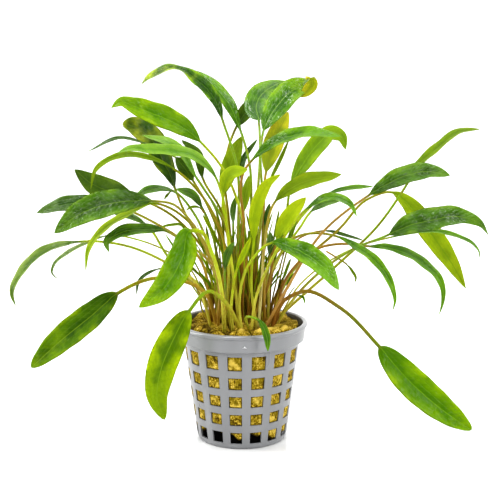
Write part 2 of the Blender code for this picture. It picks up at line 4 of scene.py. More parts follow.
import bpy
import numpy as np
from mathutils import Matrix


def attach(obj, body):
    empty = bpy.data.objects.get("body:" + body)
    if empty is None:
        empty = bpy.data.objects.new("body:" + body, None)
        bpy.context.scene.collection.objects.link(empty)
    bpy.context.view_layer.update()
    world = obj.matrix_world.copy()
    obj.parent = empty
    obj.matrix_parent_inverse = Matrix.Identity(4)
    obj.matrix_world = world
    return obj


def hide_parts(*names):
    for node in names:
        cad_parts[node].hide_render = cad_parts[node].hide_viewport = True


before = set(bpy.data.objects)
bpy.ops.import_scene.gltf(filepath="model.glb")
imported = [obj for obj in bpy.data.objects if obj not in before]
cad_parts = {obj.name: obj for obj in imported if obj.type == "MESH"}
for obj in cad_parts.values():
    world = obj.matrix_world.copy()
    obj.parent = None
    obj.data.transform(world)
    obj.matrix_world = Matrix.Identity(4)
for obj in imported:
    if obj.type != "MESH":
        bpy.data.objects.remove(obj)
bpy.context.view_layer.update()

# Net pot. A thin cup of grey plastic, moulded in one piece: a tapered wall with rows of square windows, a
# plain collar, a rounded lip and a slotted floor. It stands on its own foot. The small pip on the collar is
# what is left of the moulding gate; its near-white colour is a painted highlight.
MM = 0.001
POT_HEIGHT = 50.0
BODY_BASE_RADIUS = 18.7
BODY_TOP_RADIUS = 24.3
WALL = 0.75
FLOOR_TOP = 1.2
FOOT_ROUND = 1.1
COLLAR_RADIUS = 26.2
COLLAR_BOTTOM = 42.6
COLLAR_ROUND = 0.5
LIP_RADIUS = 27.5
LIP_BEAD = 0.95
LIP_INNER = 0.7
WINDOW_COLUMNS = 15
WINDOW_ANGLE = 14.4
WINDOW_TURN = -6.7
WINDOW_ROWS = [(2.5, 7.4), (10.5, 15.4), (18.4, 23.3), (26.3, 31.4), (34.5, 40.5)]
FLOOR_HUB_RADIUS = 7.5
FLOOR_SLOT_RADIUS = 14.5
SIDES_A_COLUMN = 10
WINDOW_BEVEL = 0.18
PIP_ANGLE = 2.9
PIP_BOTTOM, PIP_TOP = 44.6, 46.5
PIP_HALF = 1.7
PIP_PROUD = 0.9
POT_GREY = (125, 126, 128)
POT_GREY_DEEP = (120, 121, 123)
# Near-white of the pip's painted highlight
PIP_HIGHLIGHT_WHITE = (250, 251, 252)


def paint(red, green, blue):
    """A colour as a screen shows it (0 to 255), turned into the light it reflects (0 to 1)."""
    shown = np.array([red, green, blue]) / 255
    return tuple(np.where(shown < 0.04045, shown / 12.92, ((shown + 0.055) / 1.055) ** 2.4).tolist())


class Finish:
    """A material being mixed. Every method adds one node to it and returns that node's output."""

    def __init__(self, name):
        self.material = bpy.data.materials.new(name)
        self.material.use_nodes = True
        self.tree = self.material.node_tree
        self.shader = self.tree.nodes["Principled BSDF"]
        self.place = self.add("ShaderNodeTexCoord").outputs["Object"]

    def add(self, kind, **settings):
        node = self.tree.nodes.new(kind)
        for key, value in settings.items():
            setattr(node, key, value)
        return node

    def feed(self, socket, value):
        """Puts a node's output, a colour or a number into a socket."""
        if isinstance(value, bpy.types.NodeSocket):
            self.tree.links.new(value, socket)
        else:
            socket.default_value = (*value, 1.0) if isinstance(value, tuple) else value

    def sums(self, operation, first, second=0.0):
        node = self.add("ShaderNodeMath", operation=operation)
        self.feed(node.inputs[0], first)
        self.feed(node.inputs[1], second)
        return node.outputs[0]

    def ease(self, value, start, end, low=0.0, high=1.0):
        """Turns smoothly from low to high while the value goes from start to end."""
        node = self.add("ShaderNodeMapRange", interpolation_type="SMOOTHSTEP")
        for socket, amount in zip(node.inputs, (value, start, end, low, high)):
            self.feed(socket, amount)
        return node.outputs[0]

    def blend(self, share, first, second):
        node = self.add("ShaderNodeMix", data_type="RGBA")
        self.feed(node.inputs[0], share)
        self.feed(node.inputs[6], first)
        self.feed(node.inputs[7], second)
        return node.outputs[2]

    def cloud(self, size, detail=2.0, stretch=(1, 1, 1)):
        """Noise from 0 to 1 with blotches of a size in millimetres, longer where stretch is more than 1."""
        mapping = self.add("ShaderNodeMapping")
        mapping.inputs["Scale"].default_value = tuple(1 / (size * MM * s) for s in stretch)
        self.feed(mapping.inputs["Vector"], self.place)
        noise = self.add("ShaderNodeTexNoise")
        self.feed(noise.inputs["Vector"], mapping.outputs[0])
        noise.inputs["Scale"].default_value = 1.0
        noise.inputs["Detail"].default_value = detail
        return noise.outputs["Fac"]

    def relief(self, height, deep):
        """Bumps of the surface, deep being their depth in millimetres."""
        node = self.add("ShaderNodeBump")
        node.inputs["Distance"].default_value = deep * MM
        self.feed(node.inputs["Height"], height)
        self.feed(self.shader.inputs["Normal"], node.outputs[0])

    def attribute(self, name):
        return self.add("ShaderNodeAttribute", attribute_name=name).outputs["Fac"]

    def done(self, colour, roughness, **fixed):
        """Feeds the shader, its plain values being the same all over, and returns the material."""
        self.feed(self.shader.inputs["Base Color"], colour)
        self.feed(self.shader.inputs["Roughness"], roughness)
        for key, value in fixed.items():
            self.feed(self.shader.inputs[key.replace("_", " ")], value)
        return self.material


def cast(name, points, faces, material, stands_for=()):
    """Makes one smooth-shaded piece from points in millimetres, and fixes it to the plant's only body."""
    mesh = bpy.data.meshes.new(name)
    mesh.from_pydata(np.asarray(points) * MM, [], faces)
    mesh.shade_smooth()
    mesh.materials.append(material)
    piece = bpy.data.objects.new(name, mesh)
    bpy.context.scene.collection.objects.link(piece)
    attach(piece, "root")
    if stands_for:
        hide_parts(*stands_for)
    return piece


def body_radius(height):
    """Outer radius of the tapered wall: base radius + (top radius − base radius) · height / collar height."""
    return BODY_BASE_RADIUS + (BODY_TOP_RADIUS - BODY_BASE_RADIUS) * height / COLLAR_BOTTOM


def arc(radius, height, size, start, end, count=6):
    """(radius, height) points on an arc: centre + size · (cos a, sin a), a running from start to end."""
    a = np.radians(np.linspace(start, end, count))
    return [(radius + size * math.cos(t), height + size * math.sin(t)) for t in a]


def pot_section():
    """Outer and inner skin of the pot's section, point for point, and the bands that have openings."""
    outer = [(FLOOR_HUB_RADIUS, 0), (FLOOR_SLOT_RADIUS, 0)]
    inner = [(FLOOR_HUB_RADIUS, FLOOR_TOP), (FLOOR_SLOT_RADIUS, FLOOR_TOP)]
    open_bands = [0]
    outer += arc(body_radius(0) - FOOT_ROUND, FOOT_ROUND, FOOT_ROUND, -90, -8)
    inner += arc(body_radius(FLOOR_TOP) - WALL - COLLAR_ROUND, FLOOR_TOP + COLLAR_ROUND, COLLAR_ROUND, -90, -8)
    for low, high in WINDOW_ROWS:
        open_bands.append(len(outer))
        for height in (low, high):
            outer.append((body_radius(height), height))
            inner.append((body_radius(height) - WALL, height))
    under = COLLAR_BOTTOM - COLLAR_ROUND
    outer += [(body_radius(under), under)]
    outer += arc(COLLAR_RADIUS - COLLAR_ROUND, COLLAR_BOTTOM + COLLAR_ROUND, COLLAR_ROUND, -90, 0)
    inside = COLLAR_RADIUS - WALL
    inner += [(body_radius(under) - WALL, under)]
    inner += arc(inside - COLLAR_ROUND, COLLAR_BOTTOM + 3 * COLLAR_ROUND, COLLAR_ROUND, -90, 0)
    outer += arc(LIP_RADIUS - LIP_BEAD, POT_HEIGHT - LIP_BEAD, LIP_BEAD, -75, 90, 12)
    inner += arc(inside + LIP_INNER, POT_HEIGHT - LIP_INNER, LIP_INNER, 180, 90, 12)
    return np.array(outer), np.array(inner), open_bands


def pot_mesh():
    """The section carried round the axis: (r sin a, −r cos a, z), with both skins, the openings' edges
    through the wall, and a flat hub in the floor.
    """
    outer, inner, open_bands = pot_section()
    pitch = 360 / WINDOW_COLUMNS
    half = SIDES_A_COLUMN // 2
    window = np.linspace(-WINDOW_ANGLE / 2, WINDOW_ANGLE / 2, half + 1)[:-1]
    pier = np.linspace(WINDOW_ANGLE / 2, pitch - WINDOW_ANGLE / 2, half + 1)[:-1]
    columns = WINDOW_TURN + pitch * np.arange(WINDOW_COLUMNS)
    angles = np.radians(columns[:, None] + np.concatenate([window, pier])).ravel()
    sides, rings = len(angles), len(outer)
    around = np.stack([np.sin(angles), -np.cos(angles)], -1)
    skins = []
    for skin in (outer, inner):
        flat = skin[:, 0, None, None] * around[None]
        tall = np.broadcast_to(skin[:, 1, None, None], (rings, sides, 1))
        skins.append(np.concatenate([flat, tall], -1).reshape(-1, 3))
    points = np.concatenate(skins)
    solid = np.ones((rings - 1, sides), bool)
    solid[open_bands] = np.arange(sides) % SIDES_A_COLUMN >= half
    ring, side = np.nonzero(solid)

    def corner(ring, side, skin):
        return (skin * rings + ring) * sides + side % sides

    def quad(*corners):
        return np.stack([corner(*c) for c in corners], -1)

    faces = [
        quad((ring, side, 0), (ring, side + 1, 0), (ring + 1, side + 1, 0), (ring + 1, side, 0)),
        quad((ring, side, 1), (ring + 1, side, 1), (ring + 1, side + 1, 1), (ring, side + 1, 1)),
    ]
    ring, side = np.nonzero(~solid)
    faces.append(quad((ring, side, 0), (ring, side + 1, 0), (ring, side + 1, 1), (ring, side, 1)))
    top = ring + 1
    faces.append(quad((top, side + 1, 0), (top, side, 0), (top, side, 1), (top, side + 1, 1)))
    ring, side = np.nonzero(~solid & np.roll(solid, 1, 1))
    faces.append(quad((ring + 1, side, 0), (ring, side, 0), (ring, side, 1), (ring + 1, side, 1)))
    ring, side = np.nonzero(~solid & np.roll(solid, -1, 1))
    side = side + 1
    faces.append(quad((ring, side, 0), (ring + 1, side, 0), (ring + 1, side, 1), (ring, side, 1)))
    every = np.arange(sides)
    last = np.full(sides, rings - 1)
    faces.append(quad((last, every, 0), (last, every + 1, 0), (last, every + 1, 1), (last, every, 1)))
    hub = [tuple(reversed(range(sides))), tuple(range(rings * sides, rings * sides + sides))]
    return points, np.concatenate(faces).tolist() + hub


def pip_mesh(start):
    """The gate's pip: a low three-sided pyramid on the collar, its base sunk in the wall."""
    sunk = COLLAR_RADIUS - WALL / 2
    low = [(-PIP_HALF, sunk, PIP_BOTTOM), (PIP_HALF, sunk, PIP_BOTTOM), (0, sunk, PIP_TOP)]
    peak = (0, COLLAR_RADIUS + PIP_PROUD, PIP_BOTTOM + (PIP_TOP - PIP_BOTTOM) / 3)
    across, out, up = np.array([*low, peak]).T
    turn = math.radians(PIP_ANGLE)
    right = across * math.cos(turn) + out * math.sin(turn)
    back = across * math.sin(turn) - out * math.cos(turn)
    faces = [(0, 1, 3), (1, 2, 3), (2, 0, 3), (2, 1, 0)]
    return np.stack([right, back, up], -1), [tuple(start + k for k in face) for face in faces]


def pot_finish():
    """Semi-gloss grey plastic with faint flow marks up the wall and a very fine grain."""
    finish = Finish("grey_pot_plastic")
    flow = finish.cloud(7.0, 2.0, (1, 1, 4))
    grain = finish.cloud(0.35, 2.0)
    colour = finish.blend(finish.ease(flow, 0.3, 0.7), paint(*POT_GREY_DEEP), paint(*POT_GREY))
    rough = finish.ease(flow, 0.2, 0.8, 0.27, 0.31)
    finish.relief(grain, 0.02)
    return finish.done(colour, rough, IOR=1.49, Specular_IOR_Level=0.8)


wall_points, wall_faces = pot_mesh()
pip_points, pip_faces = pip_mesh(len(wall_points))
pot = cast("moulded_net_pot", np.concatenate([wall_points, pip_points]), wall_faces + pip_faces,
           pot_finish(), ["net_pot"])
pot.data.set_sharp_from_angle(angle=math.radians(35))
# The pip's own material is near-white mottled with the pot's grey: a painted highlight where the pip catches the
# light.
pip_highlight_finish = Finish("bright_gate_pip")
pot.data.materials.append(pip_highlight_finish.done(
    pip_highlight_finish.blend(pip_highlight_finish.cloud(0.8), paint(*PIP_HIGHLIGHT_WHITE), paint(*POT_GREY)), 0.2, IOR=1.49))
slots = np.zeros(len(pot.data.polygons), np.int32)
slots[len(wall_faces):] = 1
pot.data.polygons.foreach_set("material_index", slots)
edges = pot.modifiers.new("softened_edges", "BEVEL")
edges.width = WINDOW_BEVEL * MM
edges.segments = 2
edges.limit_method = "ANGLE"
edges.angle_limit = math.radians(35)
edges.harden_normals = True

# Rock wool plug. Mineral fibre, yellow with the growers' water, torn off in lumps and pressed into the pot
# round the roots. Its top lies in crumpled curls just under the lip, and it doesn't quite reach the floor.
WOOL_GAP = 0.05
WOOL_BOTTOM = 6.7
WOOL_CORE_RADIUS = 16.9
WOOL_CORE_BOTTOM = 1.5
WOOL_EDGE_ROUND = 1.2
WOOL_SHOULDER = 48.4
WOOL_CROWN = 48.9
WOOL_AROUND = 480
WINDOW_BULGE = 0.5
FIBRE_GAP = 0.22
FOLD_SIZE = 8.5
FOLD_HEIGHT = 4.0
FOLD_LEVEL = 0.55
CRUMPLE_SIZE = 3.6
CRUMPLE_HEIGHT = 1.1
TUFT_SIZE = 3.2
LOW_LUMPS = [(47, 4.6, 15), (-3, 3.4, 8), (20, 1.7, 7), (-19, 1.4, 5), (70, 3.2, 9), (128, 3.0, 16), (205, 2.6, 20),
             (290, 3.2, 15)]
FIBRES = 1900
FIBRE_STEPS = 6
FIBRE_THICK = 0.055
# The black is painted shade for the wool's hidden core and its underside.
WOOL_SHADE_BLACK = (5, 4, 2)
# The dark colour serves the fibres' dark streaks and also the painted shade in the wool's creases and round the
# window frames; the light colour serves the pale streaks and also the painted highlight on the crests.
WOOL_DARK_AND_SHADE = (62, 47, 4)
WOOL_MID = (146, 122, 22)
WOOL_PALE_AND_HIGHLIGHT = (216, 188, 88)
WOOL_OLIVE = (120, 104, 12)
draw = np.random.default_rng(5)


def grain(places, size, seed):
    """Smooth noise from −1 to 1: random values on a lattice of a given size, blended by s² (3 − 2 s)."""
    spot = np.asarray(places) / size
    cell = np.floor(spot).astype(np.int64)
    share = spot - cell
    share = share**2 * (3 - 2 * share)
    total = np.zeros(spot.shape[:-1])
    for corner in np.ndindex(*(2,) * spot.shape[-1]):
        mixed = (cell + corner) @ np.array([73856093, 19349663, 83492791])[: spot.shape[-1]]
        mixed = (mixed + seed * 2654435761) & 0xFFFFFFFF
        mixed = ((mixed ^ (mixed >> 15)) * 2246822519) & 0xFFFFFFFF
        mixed = ((mixed ^ (mixed >> 13)) * 3266489917) & 0xFFFFFFFF
        weight = np.prod(np.where(corner, share, 1 - share), -1)
        total += weight * ((mixed ^ (mixed >> 16)) & 0xFFFF)
    return total / 32767.5 - 1


def tube_faces(rings, around, start=0):
    """Quads between successive rings of points. They face out where a ring runs clockwise seen against its
    way; for the other rings the caller turns them round.
    """
    ring, side = np.meshgrid(np.arange(rings - 1), np.arange(around), indexing="ij")
    low = start + ring * around + side
    after = start + ring * around + (side + 1) % around
    return np.stack([low, low + around, after + around, after], -1).reshape(-1, 4)


def folds(right, back):
    """How high a place lies in the wool's folds, 0 in a crease and 1 on a crest: the root of |noise|."""
    places = np.stack([right, back], -1)
    big = np.sqrt(np.abs(grain(places, FOLD_SIZE, 11)))
    small = np.sqrt(np.abs(grain(places, CRUMPLE_SIZE, 12)))
    return big, small


def wool_top(right, back):
    """Height of the wool's top: a cone that falls off towards the rim, plus large folds and small crumples."""
    cone = WOOL_SHOULDER + (WOOL_CROWN - WOOL_SHOULDER) * np.clip((25 - np.hypot(right, back)) / 8, 0, 1)
    big, small = folds(right, back)
    return cone + FOLD_HEIGHT * (big - FOLD_LEVEL) + CRUMPLE_HEIGHT * (small - FOLD_LEVEL)


def in_window(turn, height):
    """1 in the middle of a window and 0 at its frame: (1 − s¹⁴) (1 − t¹⁴), s and t running from −1 to 1."""
    pitch = 360 / WINDOW_COLUMNS
    s = ((turn - WINDOW_TURN + pitch / 2) % pitch - pitch / 2) / (WINDOW_ANGLE / 2)
    low, high = np.array(WINDOW_ROWS).T
    t = (2 * height[..., None] - low - high) / (high - low)
    return np.clip(1 - s**14, 0, 1) * np.clip(1 - t**14, 0, 1).max(-1)


def wool_mesh():
    """The plug's skin on a grid (angle, way up its section), with each place's crest, which sets its painted
    highlight and shade, and how much near-black painted shade it gets.

    Section: in over the floor, up a narrow core, out under the plug's ragged edge, up the wall, bulging into
    the windows, and in over the folded top. Two sizes of noise roughen it.
    """
    angles = np.linspace(0, 2 * math.pi, WOOL_AROUND, endpoint=False)
    turn = np.degrees(angles)[None]
    low = np.full((1, WOOL_AROUND), WOOL_BOTTOM)
    for centre, drop, width in LOW_LUMPS:
        off = (turn - centre + 180) % 360 - 180
        low = low - drop * np.exp(-((off / width) ** 2))
    low = np.maximum(low, WOOL_CORE_BOTTOM + 0.4)
    inner = body_radius(low) - WALL - WOOL_GAP
    core = np.full_like(low, WOOL_CORE_RADIUS)
    turns = [
        (0.01 * core, WOOL_CORE_BOTTOM + 0 * low), (core, WOOL_CORE_BOTTOM + 0 * low), (core, low + 0.2),
        (inner - WOOL_EDGE_ROUND, low), (inner - 0.3 * WOOL_EDGE_ROUND, low + 0.3 * WOOL_EDGE_ROUND),
        (inner, low + WOOL_EDGE_ROUND),
    ]
    # How much near-black painted shade each ring gets: full on the core and over the floor, fading under the plug's
    # ragged edge, none on the wall and top.
    radii, heights, painted_core_shade = [], [], []
    for (radius, height), (radius_on, height_on), dark in zip(turns, turns[1:], (1, 1, 1, 0.6, 0.2)):
        share = np.linspace(0, 1, 5)[:-1, None]
        radii.append(radius + (radius_on - radius) * share)
        heights.append(height + (height_on - height) * share)
        painted_core_shade.append(dark + 0 * radii[-1])
    climb = np.linspace(0, 1, 96)[:, None]
    start = low + WOOL_EDGE_ROUND
    tall = start + (WOOL_SHOULDER - start) * climb
    inside = in_window(turn, tall)
    wall = body_radius(np.minimum(tall, COLLAR_BOTTOM + 1)) - WALL - WOOL_GAP
    radii.append(wall + WINDOW_BULGE * inside)
    heights.append(tall)
    inward = np.linspace(1, 0.004, 64)[1:, None]
    rim = wall[-1:] * inward
    right, back = rim * np.sin(angles), -rim * np.cos(angles)
    radii.append(rim)
    heights.append(wool_top(right, back))
    painted_core_shade += [0 * tall, 0 * rim]
    tufts = np.stack([wall * np.sin(angles), -wall * np.cos(angles), tall], -1)
    tufted = 0.48 + 0.3 * grain(tufts, TUFT_SIZE, 21) + 0.25 * grain(tufts, TUFT_SIZE / 3, 22)
    big, small = folds(right, back)
    # Crest: on the wall the window mask times tuft noise, falling to 0 at the window frames; on the top the folds'
    # height. The material paints shade where it is low and a highlight where it is high.
    crest = np.concatenate([0 * d for d in painted_core_shade[:-2]] + [inside * tufted, 0.6 * big + 0.5 * small - 0.25])
    radius, height = np.concatenate(radii), np.concatenate(heights)
    points = np.stack([radius * np.sin(angles), -radius * np.cos(angles), height], -1)
    rough = 0.18 * grain(points, 1.7, 1) + 0.12 * grain(points, 0.7, 2)
    points[..., :2] *= (1 + rough / np.maximum(radius, 4))[..., None]
    points[..., 2] += np.where(height > WOOL_SHOULDER, 0.9 * rough, 0)
    rings = len(points)
    faces = tube_faces(rings, WOOL_AROUND)[:, ::-1].tolist()
    last = (rings - 1) * WOOL_AROUND
    faces += [tuple(reversed(range(WOOL_AROUND))), tuple(range(last, last + WOOL_AROUND))]
    return points.reshape(-1, 3), faces, {"crest": crest.ravel(), "dark": np.concatenate(painted_core_shade).ravel()}


def fibre_mesh():
    """Loose fibres, three-sided tubes each bent along the wool: on its top and behind the windows."""
    count = FIBRES
    step = np.linspace(0, 1, FIBRE_STEPS)
    on_top = np.arange(count) % 5 == 0
    length = draw.uniform(1.6, 5.2, count)
    heading = draw.uniform(0, 2 * math.pi, count)[:, None] + draw.uniform(-1.6, 1.6, count)[:, None] * step
    go = length[:, None] / FIBRE_STEPS
    first = np.cumsum(np.cos(heading) * go, 1)
    second = np.cumsum(np.sin(heading) * go, 1)
    lift = draw.uniform(0.02, FIBRE_GAP, count)[:, None] + 0.5 * draw.random(count)[:, None] ** 4 * step
    reach = 23.6 * np.sqrt(draw.uniform(0.02, 1, count))[:, None]
    angle = draw.uniform(0, 2 * math.pi, count)[:, None]
    right = reach * np.sin(angle) + first
    back = -reach * np.cos(angle) + second
    inside = np.minimum(1, 24.2 / np.hypot(right, back))
    right, back = right * inside, back * inside
    top = np.stack([right, back, wool_top(right, back) + lift], -1)
    tall = np.clip(draw.uniform(WOOL_BOTTOM, WOOL_SHOULDER, count)[:, None] + first, WOOL_BOTTOM, WOOL_SHOULDER)
    radius = body_radius(tall) - WALL - WOOL_GAP + np.minimum(lift, FIBRE_GAP)
    swing = angle + second / radius
    side = np.stack([radius * np.sin(swing), -radius * np.cos(swing), tall], -1)
    paths = np.where(on_top[:, None, None], top, side)
    way = np.gradient(paths, axis=1)
    way /= np.linalg.norm(way, axis=-1, keepdims=True)
    one = np.cross(way, np.array([0.3, 0.5, 0.81]))
    one /= np.linalg.norm(one, axis=-1, keepdims=True)
    two = np.cross(way, one)
    turns = np.radians([0, 120, 240])
    taper = FIBRE_THICK * (1 - 0.6 * step)[None, :, None, None]
    ring = np.cos(turns)[:, None] * one[:, :, None] + np.sin(turns)[:, None] * two[:, :, None]
    points = (paths[:, :, None] + ring * taper).reshape(-1, 3)
    one_tube = tube_faces(FIBRE_STEPS, 3)[:, ::-1]
    starts = np.arange(count)[:, None, None] * FIBRE_STEPS * 3
    faces = (starts + one_tube).reshape(-1, 4).tolist()
    ends = starts[:, 0] + [0, 1, 2]
    faces += ends[:, ::-1].tolist() + (ends + (FIBRE_STEPS - 1) * 3).tolist()
    return points, faces


def wool_finish(name, lightness):
    """Matted fibre: fine streaks both ways and olive in patches; on the plug, painted shade in the creases and round
    the window frames, a painted highlight on the crests and near-black painted shade on the hidden core.
    """
    finish = Finish(name)
    one = finish.cloud(0.45, 3.0, (3, 1, 1))
    two = finish.cloud(0.45, 3.0, (1, 1, 3))
    patch = finish.cloud(4.0, 2.0)
    streak = finish.sums("MULTIPLY", finish.sums("ADD", one, two), 0.5)
    colour = finish.blend(finish.ease(streak, 0.41, 0.5), paint(*WOOL_DARK_AND_SHADE), paint(*WOOL_MID))
    colour = finish.blend(finish.ease(streak, 0.51 - lightness, 0.62 - lightness), colour, paint(*WOOL_PALE_AND_HIGHLIGHT))
    olive = finish.ease(patch, 0.4, 0.65, 0.0, 0.7)
    colour = finish.blend(olive, colour, paint(*WOOL_OLIVE))
    if not lightness:
        # Painted shade where the crest is low, in the creases and round the window frames, and a painted highlight
        # where it is high.
        crease = finish.sums("ADD", finish.attribute("crest"), finish.sums("MULTIPLY", streak, 0.5))
        colour = finish.blend(finish.ease(crease, 0.62, 0.42, 0.0, 0.85), colour, paint(*WOOL_DARK_AND_SHADE))
        colour = finish.blend(finish.ease(crease, 0.72, 1.0, 0.0, 0.7), colour, paint(*WOOL_PALE_AND_HIGHLIGHT))
        # Near-black painted shade over the hidden core and under the plug's edge.
        colour = finish.blend(finish.ease(finish.attribute("dark"), 0.05, 0.6), colour, paint(*WOOL_SHADE_BLACK))
    finish.relief(streak, 0.35)
    return finish.done(colour, 0.95, Specular_IOR_Level=0.1)


def mark_points(piece, marks):
    """Gives each point of a piece its values, which its material reads by name."""
    for name, values in marks.items():
        mark = piece.data.attributes.new(name, "FLOAT", "POINT")
        mark.data.foreach_set("value", values.astype(np.float32))


wool_points, wool_faces, wool_marks = wool_mesh()
wool = cast("torn_rock_wool", wool_points, wool_faces, wool_finish("rock_wool_mat", 0.0), ["rock_wool"])
mark_points(wool, wool_marks)
fibre_points, fibre_faces = fibre_mesh()
cast("rock_wool_fibres", fibre_points, fibre_faces, wool_finish("rock_wool_strands", 0.08))

# Leaves. Each is one piece: a round stalk that stands in the wool and flattens into a blade with a midrib,
# side veins, a quilted face and a soft wavy margin. They arch out of one crown, dark and glossy above, paler
# beneath, and yellower where they are old. Routes are drawn as the eye sees them, on an upright board
# through the pot's axis, and each leaf stands as far behind or before it as its solid does.
EYE = np.array([3.4, -462.4, 162.0])
FOOT_HEIGHT = 47.95
SUNK = 1.6
STALK_RADII = (0.66, 0.5)
STOUT_STALK_RADII = (0.85, 0.78)
THIN_STALK_RADII = (0.36, 0.36)
SOLID_STALK_RADII = (0.8, 0.55)
SOLID_THIN_RADII = (0.45, 0.45)
THIN_BLADE = 2.0
STOUT_BLADE = 11.3
SOLID_FULLNESS = (0.75, 0.8)
SOLID_STALK_RINGS = 6
SOLID_BLADE_RINGS = 8
SOLID_STATIONS = 60
SOLID_TIP = 0.15
BLADE_HALF_THICKNESS = 0.15
BLADE_START = 0.12
STALK_STEP = 2.2
BLADE_STEP = 0.5
TIP_CROWD = 0.94
STEEPEST = 72
FOLD_SOFT = 0.012
RUFFLE_LENGTH = 1.6
RIB_WIDTH = 0.32
RIB_UNDER = 0.22
RIB_GROOVE = 0.08
LEAF_GLOW = 0.22
ACROSS = 20
Leaf = namedtuple("Leaf", "name wide turn stalk blade skin stem form")

